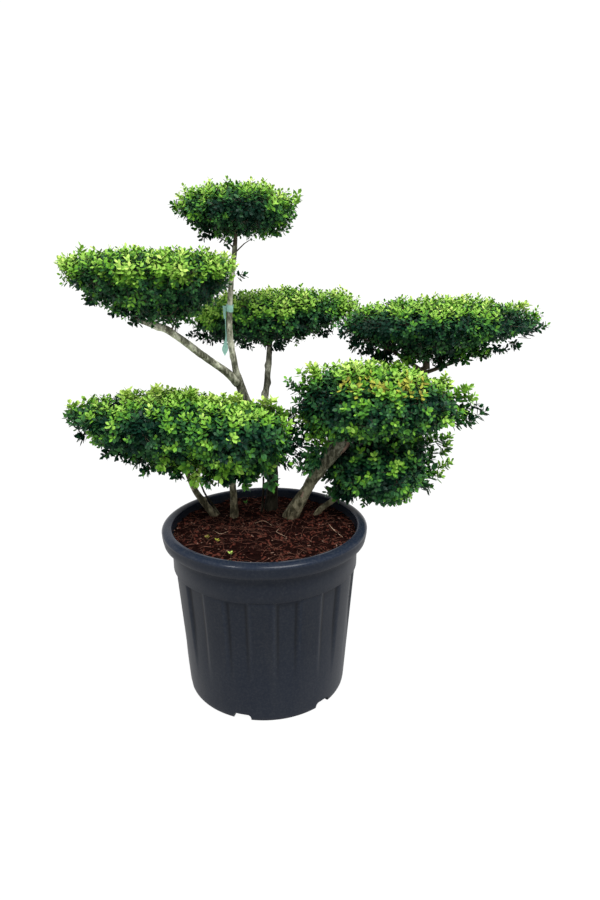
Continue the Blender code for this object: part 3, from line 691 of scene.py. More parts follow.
relief = {
    "spacing": 0.0035, "fissures": 0.055, "fissureGain": 1.6, "fissureRun": 26.0, "fissureLevel": 0.22,
    "grain": 0.035, "grainRun": 150.0, "swell": 0.05, "swellRun": 22.0, "knotLength": 1.2, "knotTurn": 0.7,
    "knotFall": 1.5, "wander": 0.0012, "wanderRun": 30, "wanderEase": 0.03, "seedStep": 7.3, "collarFrom": 0.012,
    "collarLength": 0.014, "tipPinch": 0.35, "tipReach": 0.3, "cutBevel": 0.0016, "cutRings": 6, "cutDish": 0.0012,
    "cutRough": 0.0005, "cutGrain": 300, "scarDepth": 0.0018, "scarEdge": 3,
}


def splinePath(joints, steps):
    rows = [Vector(joint) for joint in joints]
    rows = [rows[0] * 2 - rows[1]] + rows + [rows[-1] * 2 - rows[-2]]
    path = []
    for k in range(1, len(rows) - 2):
        a, b, c, d = rows[k - 1:k + 3]
        for step in range(steps):
            t = step / steps
            path.append(0.5 * (2 * b + (c - a) * t + (2 * a - 5 * b + 4 * c - d) * t * t
                               + (3 * b - a - 3 * c + d) * t ** 3))
    path.append(rows[-2])
    return [(Vector(row[:3]), row[3]) for row in path]


def evenPath(joints, spacing):
    # the spline again, stepped evenly along its length
    dense = splinePath(joints, 40)
    lengths = [0.0]
    for (a, _), (b, _) in zip(dense, dense[1:]):
        lengths.append(lengths[-1] + (b - a).length)
    count = max(4, round(lengths[-1] / spacing))
    path, k = [], 0
    for step in range(count + 1):
        target = lengths[-1] * step / count
        while k < len(lengths) - 2 and lengths[k + 1] < target:
            k += 1
        share = (target - lengths[k]) / max(1e-9, lengths[k + 1] - lengths[k])
        path.append((dense[k][0].lerp(dense[k + 1][0], share), lerp(dense[k][1], dense[k + 1][1], share), target))
    return path


def barkRadius(plan, radius, turn, along, total, seed):
    # fissures run along the limb, knots stand out, and a bough swells into its parent
    spot = Vector((math.cos(turn) * 2.2 + seed, math.sin(turn) * 2.2, along * relief["fissureRun"]))
    fissure = abs(noise.noise(spot * 1.7)) - relief["fissureLevel"]
    fine = noise.noise(Vector((math.cos(turn) * 6 + seed, math.sin(turn) * 6, along * relief["grainRun"])))
    reach = 1 - relief["fissures"] * fissure * relief["fissureGain"] + relief["grain"] * fine
    reach += relief["swell"] * noise.noise(Vector((seed, math.sin(turn), along * relief["swellRun"])))
    for place, side, size in plan["knots"]:
        away = (turn - side + math.pi) % tau - math.pi
        near = ((along - place * total) / (radius * relief["knotLength"])) ** 2 + (away / relief["knotTurn"]) ** 2
        reach += size * math.exp(-near * relief["knotFall"])
    if "collar" in plan:
        reach += plan["collar"] * math.exp(-max(0.0, along - relief["collarFrom"]) / relief["collarLength"])
    return radius * reach


def scarDepth(plan, point):
    # 1 on a scar's middle line, 0 outside it
    depth = 0.0
    for *ends, reach in plan.get("scars", []):
        start, end = metres(*ends[:3]), metres(*ends[3:])
        share = min(1.0, max(0.0, (point - start).dot(end - start) / (end - start).length_squared))
        depth = max(depth, 1 - (point - start.lerp(end, share)).length * 10000 / reach)
    return depth


def makeLimb(name, plan, number):
    path, sides, cut = evenPath(plan["joints"], relief["spacing"]), plan["sides"], "cut" in plan
    side, total, points, scarred = Vector((1, 0, 0)), path[-1][2], [], set()
    for k, (centre, radius, run) in enumerate(path):
        ahead = (path[min(k + 1, len(path) - 1)][0] - path[max(k - 1, 0)][0]).normalized()
        side = (side - ahead * side.dot(ahead)).normalized()
        up = ahead.cross(side)
        along, ease = run * relief["wanderRun"], relief["wanderEase"]
        sway = Vector((noise.noise(Vector((number, along, 0))), noise.noise(Vector((0, number, along))), 0))
        centre = centre + sway * relief["wander"] * smoothstep(0, ease, run) * smoothstep(0, ease, total - run)
        for j in range(sides):
            turn = tau * j / sides
            reach = barkRadius(plan, radius, turn, run, total, number * relief["seedStep"])
            if k == len(path) - 1:
                reach -= relief["cutBevel"] if cut else radius * relief["tipPinch"]
            outward = side * math.cos(turn) + up * math.sin(turn)
            depth = scarDepth(plan, centre + outward * reach)
            if depth > 0:
                scarred.add(len(points))
            points.append(centre + outward * (reach - relief["scarDepth"] * min(1.0, depth * relief["scarEdge"])))
    faces = [cap(0, sides)[::-1], *ringFaces(len(path), sides)]
    last = (len(path) - 1) * sides
    tip, ahead = path[-1][0], (path[-1][0] - path[-2][0]).normalized()
    if cut:
        faces += sawnEnd(points, last, sides, tip, ahead)
    else:
        faces += fan(last, sides, len(points))
        points.append(tip + ahead * path[-1][1] * relief["tipReach"])
    made = meshObject(f"bark_{name}", points, faces, bark, sharpAngle=60 if cut else None)
    if cut:
        made.data.materials.append(sawnMaterial())
        rim = len(faces) - sides * relief["cutRings"]
        made.data.polygons.foreach_set("material_index", [
            1 if k >= rim or scarred.issuperset(face) else 0 for k, face in enumerate(faces)])
    addToPart(made, "bark", *plan.get("replaces", [name]))


def sawnEnd(points, last, sides, tip, ahead):
    # the sawn face: a dished, slightly rough disc
    faces, before, rings = [], last, relief["cutRings"]
    for ring in range(1, rings):
        share, start = 1 - ring / rings, len(points)
        for j in range(sides):
            inner = tip + (points[last + j] - tip) * share
            rough = relief["cutRough"] * noise.noise(inner * relief["cutGrain"])
            points.append(inner - ahead * (relief["cutDish"] * (1 - share) - rough))
        faces += bridge(before, start, sides)
        before = start
    points.append(tip - ahead * relief["cutDish"])
    return faces + fan(before, sides, len(points) - 1)


for number, (limbName, limbPlan) in enumerate(limbs.items()):
    makeLimb(limbName, limbPlan, number)
print("limbs ready")


# label tie: a blank soft plastic band with a loose tail, round the top stem

tie = {
    "level": 1.122, "height": 0.020, "fit": 0.0005, "slack": 1.09, "thickness": 0.0013, "wave": 0.0008,
    "bevel": 0.0003, "bevelRise": 0.0006, "sides": 36, "curl": 0.35, "flapTurn": 0.5, "tailTurn": 0.2,
    "flap": [(-0.0150, -0.002, 0.006, 0.0062), (-0.0160, -0.002, -0.010, 0.0048), (-0.0160, -0.002, -0.031, 0.0007)],
    "tail": [(-0.0120, -0.001, -0.004, 0.0016), (-0.0135, -0.002, -0.040, 0.0009), (-0.0130, -0.002, -0.078, 0.0012),
             (-0.0150, -0.002, -0.098, 0.0045), (-0.0170, -0.003, -0.117, 0.0090), (-0.0180, -0.003, -0.136, 0.0008)],
}


def addStrip(points, faces, centre, route, turn):
    # a loose flat strip; the route's last number is half its width there
    curve = splinePath(route, 6)
    faces += [face[::-1] for face in tubeFaces(len(curve), 4, len(points))]
    for k, (place, half) in enumerate(curve):
        bend = turn + tie["curl"] * math.sin(k / (len(curve) - 1) * 4.0)
        across = Vector((math.cos(bend), -math.sin(bend), 0)) * max(half, 0.0006)
        through = Vector((across.y, -across.x, 0)).normalized() * tie["thickness"] / 2
        points += [centre + place + x * across + z * through for x, z in ((-1, -1), (1, -1), (1, 1), (-1, 1))]


def makeTie():
    path = splinePath(limbs["leader"]["joints"], 6)
    at = min(range(len(path)), key=lambda k: abs(path[k][0].z - tie["level"]))
    centre, radius = path[at]
    ahead = (path[at + 1][0] - path[at - 1][0]).normalized()
    side = ahead.cross(Vector((0, 1, 0))).normalized()
    up = ahead.cross(side)
    inner = radius * tie["slack"] + tie["fit"]
    outer, half, sides = inner + tie["thickness"], tie["height"] / 2, tie["sides"]
    bevel, rise = tie["bevel"], tie["bevelRise"]
    profile = [(inner, -half), (outer - bevel, -half), (outer, -half + rise), (outer, half - rise),
               (outer - bevel, half), (inner, half)]
    points, faces, width = [], [], len(profile)
    for k in range(sides):
        turn = tau * k / sides
        wave = tie["wave"] * math.sin(2 * turn + 0.6)
        outward = side * math.cos(turn) + up * math.sin(turn)
        points += [centre + outward * reach + ahead * (rise + wave) for reach, rise in profile]
        faces += [face[::-1] for face in bridge(k * width, (k + 1) % sides * width, width)]
    addStrip(points, faces, centre, tie["flap"], tie["flapTurn"])
    addStrip(points, faces, centre, tie["tail"], tie["tailTurn"])
    addToPart(meshObject("label_tie_strip", points, faces, tieMaterial(), sharpAngle=40), "tie_plastic", "label_tie")


makeTie()
print("label tie ready")


# foliage: the same growing rule as the solids, carried on to twigs and sprays of leaves

# a pad's side curve has two powers, its slope lifts it towards +X, and it stays behind its walls
# its rows are in millimetres, with the radii of forks in tenths of one, and glows and gains in hundredths
# a sprig is a loose twig: x and z of its foot, x and z of its tip, the y of both, its sprays and its glow, the
# painted light added to its leaves, below zero for painted shade
# a fork is a stout twig: its radius at foot and tip, then its places
# a patch is painted lighter or darker than the rest, as painted light and shade: place, radius and gain; golden
# leaves have a place and a radius
# deep sets how light a pad's painted shade below is, and limit the level where the painted light of its top takes
# over
slab, flatDome, lowDome = (4.5, 2.0), (3.0, 2.0), (2.8, 1.9)
cone, slack, bowl, tub = (1.35, 1.12), (1.75, 1.35), (1.9, 1.5), (2.6, 1.6)
pads = {
    "crown_top": {
        "seed": 11, "foot": "leader", "centre": (-0.068, 0.08, 1.39), "left": 0.17, "right": 0.17, "front": 0.15,
        "back": 0.15, "top": 0.07, "drop": 0.088, "dome": flatDome, "belly": tub, "keel": (-0.052, 0.088),
        "sprays": 950, "open": 0.35, "size": 0.9, "deep": 0.42, "limit": 0.08,
        "sprigs": [(-81, 1291, -119, 1317, 88, 2, -10), (-210, 1388, -239, 1398, 80, 4, 0),
                   (82, 1408, 98, 1426, 80, 3, 10), (-134, 1329, -167, 1316, 80, 4, -15),
                   (-155, 1345, -180, 1336, 80, 3, -10), (27, 1327, 60, 1329, 80, 3, -10)],
        "forks": [(22, 10, (-78, 92, 1283), (-96, 90, 1302), (-120, 88, 1312)),
                  (22, 10, (-72, 92, 1277), (-50, 90, 1297), (-30, 88, 1309))],
        "patches": [(-33, -30, 1387, 62, -35), (-93, -50, 1352, 19, 35), (-9, -60, 1382, 40, -25),
                    (-117, -50, 1383, 26, -30)]},
    "crown_upper_left": {
        "seed": 23, "foot": "bough_upper_left", "centre": (-0.268, -0.06, 1.232), "left": 0.245, "right": 0.22,
        "front": 0.17, "back": 0.165, "top": 0.056, "drop": 0.156, "dome": slab, "belly": slack,
        "keel": (-0.268, -0.02), "sprays": 1600, "open": 0.2, "size": 0.9, "deep": 0.33, "limit": -0.14,
        "sprigs": [(-242, 1081, -225, 1105, 5, 2, -10), (-232, 1065, -230, 1103, 5, 1, -10),
                   (-64, 1219, -40, 1217, -30, 2, -45), (-493, 1247, -507, 1252, -60, 3, 30),
                   (-461, 1268, -454, 1283, -60, 3, 30), (-330, 1105, -341, 1092, -20, 3, -30),
                   (-370, 1130, -390, 1119, -40, 4, -30), (-419, 1164, -446, 1151, -60, 3, -30)],
        "forks": [(30, 14, (-250, 12, 1066), (-240, 8, 1085), (-228, 4, 1098)),
                  (24, 12, (-240, 14, 1060), (-236, 10, 1080), (-236, 6, 1098))],
        "patches": [(-259, -200, 1248, 114, 5), (-401, -180, 1179, 57, -20), (-128, -150, 1201, 37, -15)]},
    "crown_back": {
        "seed": 31, "foot": "stem_back", "centre": (0.02, 0.3, 1.108), "left": 0.266, "right": 0.268, "slope": 0.055,
        "front": 0.15, "back": 0.15, "top": 0.07, "drop": 0.121, "dome": flatDome, "belly": tub,
        "keel": (-0.02, 0.285), "sprays": 1350, "open": 0.25, "size": 0.9, "deep": 0.29, "limit": -0.2,
        "sprigs": [(16, 998, 35, 995, 240, 3, -30), (29, 1010, 44, 992, 240, 3, -30),
                   (75, 1039, 113, 1030, 260, 3, -30), (141, 1041, 204, 1038, 270, 4, -30),
                   (-192, 1059, -242, 1066, 280, 6, -10), (-178, 1024, -213, 1018, 280, 4, -20),
                   (-143, 1024, -197, 1009, 280, 5, -30), (-212, 1043, -244, 1027, 280, 4, -20),
                   (-84, 1009, -47, 994, 250, 4, -30), (-15, 1012, 3, 994, 250, 3, -30)],
        "patches": [(-156, 160, 1099, 31, 35), (192, 160, 1099, 60, -15), (-137, 330, 1098, 85, 20),
                    (55, 330, 1107, 85, 22), (231, 330, 1114, 80, 20)]},
    "crown_right": {
        "seed": 43, "foot": "bough_right", "centre": (0.498, 0.16, 1.074), "left": 0.29, "right": 0.318,
        "slope": 0.02, "front": 0.175, "back": 0.175, "top": 0.084, "drop": 0.131, "dome": (3.0, 1.9), "belly": cone,
        "sprays": 1500, "open": 0.5, "size": 0.95, "deep": 0.27, "limit": 0.45,
        "sprigs": [(505, 950, 524, 976, 150, 4, 14), (540, 962, 556, 991, 150, 5, 14),
                   (572, 973, 588, 1000, 150, 5, 14), (604, 982, 623, 1009, 150, 5, 14),
                   (444, 956, 425, 985, 150, 4, 14), (519, 981, 529, 951, 140, 5, 14),
                   (554, 990, 564, 963, 140, 5, 14), (586, 999, 596, 972, 140, 5, 14),
                   (617, 1007, 631, 981, 140, 5, 14), (649, 1013, 663, 990, 140, 5, 14),
                   (343, 993, 329, 972, 140, 4, 14), (373, 984, 359, 960, 140, 5, 14),
                   (403, 975, 389, 951, 140, 5, 14), (424, 984, 422, 954, 140, 4, 14),
                   (383, 991, 318, 976, 150, 4, -30), (334, 1010, 284, 990, 140, 5, -30),
                   (296, 1027, 252, 1010, 120, 5, -30), (355, 1004, 341, 975, 140, 3, -30),
                   (315, 1020, 298, 994, 130, 3, -30), (276, 1044, 248, 1030, 100, 5, -30),
                   (245, 1063, 220, 1055, 80, 4, -20), (615, 994, 658, 982, 150, 4, -30),
                   (665, 1007, 713, 1000, 140, 4, -25), (716, 1025, 747, 1016, 140, 3, -20),
                   (757, 1038, 788, 1050, 150, 3, -10), (787, 1061, 832, 1071, 160, 4, 10),
                   (762, 1094, 785, 1103, 140, 3, 20), (735, 1127, 755, 1133, 120, 3, 35)],
        "forks": [(84, 32, (480, 170, 925), (429, 165, 962), (384, 155, 991), (334, 145, 1013), (291, 130, 1032)),
                  (68, 28, (489, 170, 928), (538, 165, 947), (584, 160, 966), (633, 150, 988)),
                  (13, 7, (748, 150, 1034), (787, 150, 1031)),
                  (44, 20, (429, 165, 962), (438, 160, 993), (426, 150, 1024)),
                  (44, 20, (538, 165, 947), (586, 150, 991), (605, 140, 1019))],
        "patches": [(298, 0, 1098, 92, -30), (560, 0, 1135, 103, 15), (395, 0, 1111, 23, 25)]},
    "crown_far_left": {
        "seed": 53, "foot": "stem_far_left", "centre": (-0.25, -0.02, 0.838), "left": 0.3, "right": 0.15,
        "front": 0.165, "back": 0.155, "top": 0.07, "drop": 0.2, "dome": flatDome, "belly": slack, "sprays": 1150,
        "open": 0.3, "size": 1.12, "deep": 0.38, "limit": 0.44, "walls": [((1, 0, 0), -0.15)],
        "sprigs": [(-416, 757, -443, 734, -60, 4, -20), (-395, 749, -405, 729, -60, 2, -30),
                   (-357, 740, -381, 720, -60, 3, -10), (-333, 726, -357, 705, -60, 3, -25),
                   (-309, 708, -333, 679, -60, 4, -25), (-287, 711, -282, 692, -60, 3, -30),
                   (-259, 708, -257, 692, -60, 3, -30), (-227, 688, -244, 674, -60, 4, -20),
                   (-265, 743, -275, 712, -90, 4, 24), (-176, 720, -193, 653, -70, 9, 24),
                   (-197, 717, -208, 703, -80, 4, 24), (-163, 700, -151, 668, -70, 5, 35),
                   (-487, 801, -508, 783, -50, 3, -20), (-517, 824, -541, 836, -30, 4, 10),
                   (-508, 853, -529, 871, -30, 5, 35), (-469, 862, -490, 879, -20, 4, 30),
                   (-209, 896, -195, 915, -50, 3, 30), (-383, 896, -366, 911, -50, 4, 30),
                   (-307, 904, -284, 924, -50, 4, 30)],
        "patches": [(-219, -180, 819, 26, 40), (-272, -120, 738, 22, 34), (-286, -160, 802, 45, -20),
                    (-184, -80, 686, 26, 34), (-382, -150, 867, 28, 20), (-328, -165, 847, 30, -15)]},
    "crown_front_left": {
        "seed": 61, "foot": "stem_front_left", "centre": (-0.12, -0.03, 0.818), "left": 0.15, "right": 0.204,
        "slope": -0.09, "front": 0.165, "back": 0.14, "top": 0.074, "drop": 0.21, "dome": flatDome, "belly": bowl,
        "sprays": 1050, "open": 0.25, "size": 1.2, "deep": 0.38, "limit": 0.48, "walls": [((-1, 0, 0), 0.19)],
        "sprigs": [(14, 857, 81, 845, -10, 5, 24), (-3, 871, 25, 879, -10, 4, 35), (36, 825, 86, 813, -10, 5, -10),
                   (58, 787, 112, 799, -10, 5, -25), (58, 761, 129, 770, 0, 5, -25), (52, 743, 120, 743, 0, 5, -25),
                   (52, 731, 106, 716, 0, 4, -25), (46, 716, 72, 689, 0, 4, -20), (36, 763, 50, 717, -30, 4, -20),
                   (19, 734, 26, 630, -30, 7, 24), (2, 743, 10, 684, -40, 6, 24), (-92, 738, -113, 686, -100, 6, 24),
                   (-146, 680, -158, 659, -80, 4, 0), (-56, 673, -49, 643, -60, 5, 10),
                   (-84, 878, -67, 898, -30, 4, 30)],
        "patches": [(-133, -180, 803, 30, 36), (-65, -185, 831, 28, 34), (-96, -135, 735, 29, 40),
                    (-63, -105, 700, 25, 34), (-181, -85, 687, 24, 30), (4, -150, 813, 50, -25),
                    (-176, -185, 852, 24, -15), (-116, -160, 773, 12, -30)]},
    "crown_centre_right": {
        "seed": 71, "foot": "bough_centre_right", "centre": (0.34, -0.01, 0.872), "left": 0.232, "right": 0.222,
        "slope": -0.11, "front": 0.15, "back": 0.13, "top": 0.122, "drop": 0.14, "dome": lowDome,
        "belly": (3.0, 1.6), "sprays": 1250, "open": 0.2, "size": 1.1, "deep": 0.46, "limit": 0.5,
        "walls": [((0, 0, -1), -0.752), ((0.406, 0, 0.914), 1.05)],
        "sprigs": [(142, 907, 68, 940, -20, 6, 12), (147, 921, 103, 962, -20, 5, 35),
                   (153, 890, 84, 915, -20, 5, -5), (153, 870, 89, 879, -20, 5, -25),
                   (159, 856, 73, 842, -20, 6, -22), (148, 841, 109, 872, -30, 4, -25),
                   (168, 813, 98, 833, -20, 4, 35), (176, 796, 145, 813, -20, 5, 55),
                   (182, 778, 120, 813, -20, 4, 30), (188, 761, 129, 775, -20, 6, 30),
                   (180, 737, 126, 731, -20, 6, 25), (177, 749, 137, 749, -20, 5, 10),
                   (166, 704, 112, 716, -10, 6, -10), (161, 698, 86, 695, -10, 5, 0),
                   (149, 677, 103, 677, -10, 6, 10), (147, 961, 133, 978, -30, 5, 30),
                   (514, 910, 505, 951, -10, 6, 5), (531, 901, 566, 918, -20, 5, 30),
                   (532, 887, 584, 893, -20, 6, 35), (531, 822, 624, 847, -10, 6, -20),
                   (526, 811, 590, 816, -10, 3, -25), (537, 854, 606, 865, -10, 5, -10),
                   (524, 842, 585, 842, -10, 5, -15)],
        "patches": [(179, -150, 981, 42, 25), (206, -150, 883, 66, -20), (130, -100, 898, 54, -35)],
        "golden": [(236, -130, 955, 42), (301, -130, 961, 42), (400, -120, 945, 55)]},
    "crown_low_right": {
        "seed": 83, "foot": "stem_low_right", "centre": (0.352, 0.085, 0.672), "left": 0.166, "right": 0.14,
        "front": 0.15, "back": 0.15, "top": 0.14, "drop": 0.137, "dome": (4.5, 2.6), "belly": tub,
        "keel": (0.362, 0.09), "sprays": 900, "open": 0.3, "size": 1.2, "deep": 0.53, "limit": 0.75,
        "walls": [((0, 0, 1), 0.782), ((-0.35, 0, 0.937), 0.6)],
        "sprigs": [(238, 686, 169, 661, 70, 8, -15), (233, 648, 179, 623, 70, 8, -25),
                   (231, 613, 189, 577, 80, 8, -30), (237, 594, 217, 561, 80, 8, -35),
                   (253, 626, 240, 562, 60, 9, -35), (259, 604, 251, 566, 50, 7, -35),
                   (484, 698, 541, 708, 80, 4, 0), (479, 736, 523, 748, 80, 5, -10), (541, 708, 550, 753, 80, 4, 15),
                   (493, 645, 558, 673, 80, 6, 10), (477, 667, 497, 681, 80, 3, -10), (478, 642, 531, 624, 80, 5, 0),
                   (465, 606, 503, 589, 80, 5, -10), (301, 596, 321, 560, 50, 5, -10),
                   (362, 583, 388, 552, 50, 5, -10)],
        "patches": [(284, -60, 726, 33, 25), (422, -50, 775, 45, 15), (385, -60, 646, 40, -10),
                    (328, -20, 617, 58, -45), (235, 0, 594, 60, -45)]},
}
growth = {
    "step": 0.42, "sag": 0.05, "twigPower": 2.3, "finest": 0.0007, "shootReach": 0.036, "wander": 0.003,
    "layers": ((0.72, 0.88, 1.00), (0.18, 0.68, 0.86), (0.10, 0.45, 0.68)), "tuft": 0.17, "tuftScale": 25.0,
    "setback": 0.013, "stray": 0.20, "strayReach": 0.013, "limbClearance": 0.006, "pool": 5, "topFrom": 0.80,
    "sprigRadius": 0.0011, "sprigSpread": 0.009, "sprigFill": 0.62, "sprigLeaf": 1.28, "sprigSag": 0.08,
    "sprigEnd": 0.006, "heart": 0.35, "knee": 0.012, "sink": 0.01, "footTaper": (0.98, 0.9, 0.75), "thinning": 0.85,
    "levels": (-0.98, 0.995), "tuftMost": 0.03, "openLevels": (-0.25, -0.75), "openShares": (0.6, 0.9),
    "stout": 0.0022,
}
# the foliage's painted light and shade, dealt out as tints
shade = {
    "high": 0.93, "crest": 0.18, "blend": 0.30, "patchy": 0.38, "patchScale": 14.0, "hollow": 1.5,
    "youngTipLight": 0.16, "old": -0.36, "vary": 0.12, "leafVary": 0.07,
    "goldFrom": 0.52, "goldShare": 0.52, "bronzeShare": 0.18, "fineShare": 0.6, "skin": 0.82, "underside": 0.06,
    "patchEdge": (1.25, 0.6), "steps": (("leafPale", 1.22), ("leafLime", 0.84), ("leafBright", 0.67),
                                        ("leafFresh", 0.51), ("leafMid", 0.34), ("leafDeep", 0.15)),
}
leaf = {
    "length": 0.0165, "width": 0.56, "fold": -0.05, "curl": -0.06, "perSpray": 11, "gap": 0.0030,
    "tipAngle": 34.0, "baseAngle": 84.0, "spiral": math.radians(137.5), "youngest": 0.70, "alongTwig": 0.35,
    "outward": 0.65, "upward": 0.35, "faceUp": 0.30, "sprayVary": (0.82, 1.16), "sizeVary": (0.88, 1.12),
    "spinVary": 0.25, "angleVary": 0.14, "faceVary": 0.22, "crowding": 0.6, "limbClearance": 0.002,
}


def lumps(seed, turn):
    rng = random.Random(seed)
    waves = [(k, rng.uniform(0, tau), rng.uniform(0.5, 1.0)) for k in (2, 3, 5, 7)]
    return sum(size * math.sin(k * turn + phase) for k, phase, size in waves) / 4


def padReach(pad, turn):
    along, across = math.cos(turn), math.sin(turn)
    halfX = pad["right"] if along > 0 else pad["left"]
    halfY = pad["back"] if across > 0 else pad["front"]
    plain = (abs(along / halfX) ** 2.2 + abs(across / halfY) ** 2.2) ** (-1 / 2.2)
    return plain * (1 + 0.05 * lumps(pad["seed"], turn))


def padMiddle(pad, level):
    x, y, _ = pad["centre"]
    if level >= 0:
        return x, y
    keel = pad.get("keel", pad["tip"])
    share = abs(level) ** 1.5
    return lerp(x, keel[0], share), lerp(y, keel[1], share)


def padSurface(pad, turn, level, share):
    wide, tall = pad["dome"] if level >= 0 else pad["belly"]
    x, y = padMiddle(pad, level)
    reach = padReach(pad, turn) * (1 - abs(level) ** tall) ** (1 / wide) * share
    height = (pad["top"] if level >= 0 else pad["drop"]) * level * share
    x += reach * math.cos(turn)
    lift = pad.get("slope", 0.0) * (x - pad["centre"][0])
    return Vector((x, y + reach * math.sin(turn), pad["centre"][2] + height + lift))


def inWalls(pad, point):
    return all(point.dot(Vector(normal)) < limit for normal, limit in pad.get("walls", []))


def limbSpans():
    spans = []
    for plan in limbs.values():
        path = splinePath(plan["joints"], 2)
        spans += [(a, b - a, ra, rb) for (a, ra), (b, rb) in zip(path, path[1:])]
    return spans


def clearOfLimbs(points, spans, clearance):
    # points is an array; true where a point keeps off every limb
    clear = np.ones(len(points), bool)
    for a, run, ra, rb in spans:
        offset = points - np.array(a)
        share = np.clip(offset @ np.array(run) / run.length_squared, 0, 1)
        away = np.linalg.norm(offset - share[:, None] * np.array(run), axis=1)
        clear &= away > ra + (rb - ra) * share + clearance
    return clear


def outwardOf(pad, point):
    # the way out of the pad through a point, with the pad scaled to a ball
    x, y, z = pad["centre"]
    halfX = pad["right"] if point.x > x else pad["left"]
    halfY = pad["back"] if point.y > y else pad["front"]
    halfZ = pad["top"] if point.z > z else pad["drop"]
    return Vector(((point.x - x) / halfX ** 2, (point.y - y) / halfY ** 2, (point.z - z) / halfZ ** 2)).normalized()


def topLevel(pad, level):
    # spreads the highest draws evenly over the flat top, to its very middle
    if level < growth["topFrom"]:
        return level
    wide, tall = pad["dome"]
    rim = (1 - growth["topFrom"] ** tall) ** (1 / wide)
    highest = growth["levels"][1]
    inner = rim * math.sqrt((highest - level) / (highest - growth["topFrom"]))
    return (1 - inner ** wide) ** (1 / tall)


def spreadTips(pad, rng, spans):
    # evenly spread shoot tips, most on the skin and some further in
    tips = []
    for part, low, high in growth["layers"]:
        count = int(pad["sprays"] * part)
        pool = []
        while len(pool) < count * growth["pool"]:
            turn, level = rng.uniform(0, tau), topLevel(pad, rng.uniform(*growth["levels"]))
            share = rng.uniform(low, high)
            point = padSurface(pad, turn, level, share)
            tuft = noise.noise(point * growth["tuftScale"]) * growth["tuft"]
            point = padSurface(pad, turn, level, share + min(tuft, growth["tuftMost"]))
            straying = growth["strayReach"] * rng.random() if rng.random() < growth["stray"] else 0.0
            point += outwardOf(pad, point) * (straying - growth["setback"])
            thin = pad["open"] * smoothstep(*growth["openLevels"], level) * smoothstep(*growth["openShares"], share)
            if inWalls(pad, point) and rng.random() > thin:
                pool.append(point)
        pool = np.array([tuple(p) for p in pool])
        pool = pool[clearOfLimbs(pool, spans, growth["limbClearance"])]
        nearest = np.linalg.norm(pool - pool[0], axis=1)
        chosen = [0]
        while len(chosen) < min(count, len(pool)):
            chosen.append(int(nearest.argmax()))
            nearest = np.minimum(nearest, np.linalg.norm(pool - pool[chosen[-1]], axis=1))
        tips += [Vector(p) for p in pool[chosen]]
    return tips


def partTips(tips):
    middle = sum(tips, Vector()) / len(tips)
    far = max(tips, key=lambda tip: (tip - middle).length_squared)
    other = max(tips, key=lambda tip: (tip - far).length_squared)
    axis = other - far
    ordered = sorted(tips, key=lambda tip: tip.dot(axis))
    half = len(ordered) // 2
    return ordered[:half], ordered[half:]


def grow(start, radius, tips, rng, twigs, shoots):
    # one branch runs part of the way to the middle of its tips, then parts in two
    middle = sum(tips, Vector()) / len(tips)
    if len(tips) <= 2 or max((tip - start).length for tip in tips) < growth["shootReach"]:
        for tip in tips:
            twigs.append((start, tip, min(radius, growth["finest"] * 1.5), growth["finest"] * 0.6))
            shoots.append((start, tip, 0.0, 1.0, 1.0))
        return
    end = start.lerp(middle, growth["step"])
    end.z -= growth["sag"] * (middle - start).length
    end += Vector([rng.uniform(-1, 1) for _ in range(3)]) * growth["wander"]
    thinner = radius * growth["thinning"]
    twigs.append((start, end, radius, thinner))
    for group in partTips(tips):
        child = max(growth["finest"], thinner * (len(group) / len(tips)) ** (1 / growth["twigPower"]))
        grow(end, child, group, rng, twigs, shoots)


def growSprig(start, tip, count, glow, rng, twigs, shoots):
    # a loose twig that sags a little, with thin sprays set along it
    bend = start.lerp(tip, 0.5) - Vector((0, 0, growth["sprigSag"] * (tip - start).length))
    thick = growth["sprigRadius"]
    twigs += [(start, bend, thick, thick * 0.8), (bend, tip, thick * 0.8, thick * 0.5)]
    for k in range(count):
        share = (k + 0.6) / count
        node = start.lerp(bend, share * 2) if share < 0.5 else bend.lerp(tip, share * 2 - 1)
        spread = growth["sprigSpread"] * (1 if k < count - 1 else 0.2)
        end = node + Vector([rng.uniform(-1, 1) for _ in range(3)]) * spread
        end += (tip - start).normalized() * growth["sprigEnd"]
        twigs.append((node, end, thick * 0.5, thick * 0.4))
        shoots.append((node, end, glow, growth["sprigFill"], growth["sprigLeaf"]))


def unit(vectors):
    return vectors / np.maximum(np.linalg.norm(vectors, axis=1, keepdims=True), 1e-9)


def sidesOf(runs):
    # two arrays of directions square to the runs
    helper = np.where(np.abs(runs[:, 2:]) < 0.9, [[0.0, 0.0, 1.0]], [[1.0, 0.0, 0.0]])
    side = unit(np.cross(runs, helper))
    return side, np.cross(runs, side)


def twigMesh(name, twigs):
    # tapered prisms in one mesh: more sides on the thicker ones
    points, faces = [], []
    for sides, stout in ((3, False), (6, True)):
        few = [twig for twig in twigs if (twig[2] >= growth["stout"]) == stout]
        if not few:
            continue
        a, b = (np.array([tuple(t[k]) for t in few]) for k in (0, 1))
        side, up = sidesOf(unit(b - a))
        rings = []
        for end, radii in ((a, [t[2] for t in few]), (b, [t[3] for t in few])):
            for turn in (tau * j / sides for j in range(sides)):
                rings.append(end + (side * math.cos(turn) + up * math.sin(turn)) * np.array(radii)[:, None])
        base = sum(len(p) for p in points)
        points.append(np.stack(rings, 1).reshape(-1, 3))
        for k in range(len(few)):
            faces += tubeFaces(2, sides, base + k * 2 * sides)
    return meshObject(name, np.concatenate(points), faces, twigMaterial)


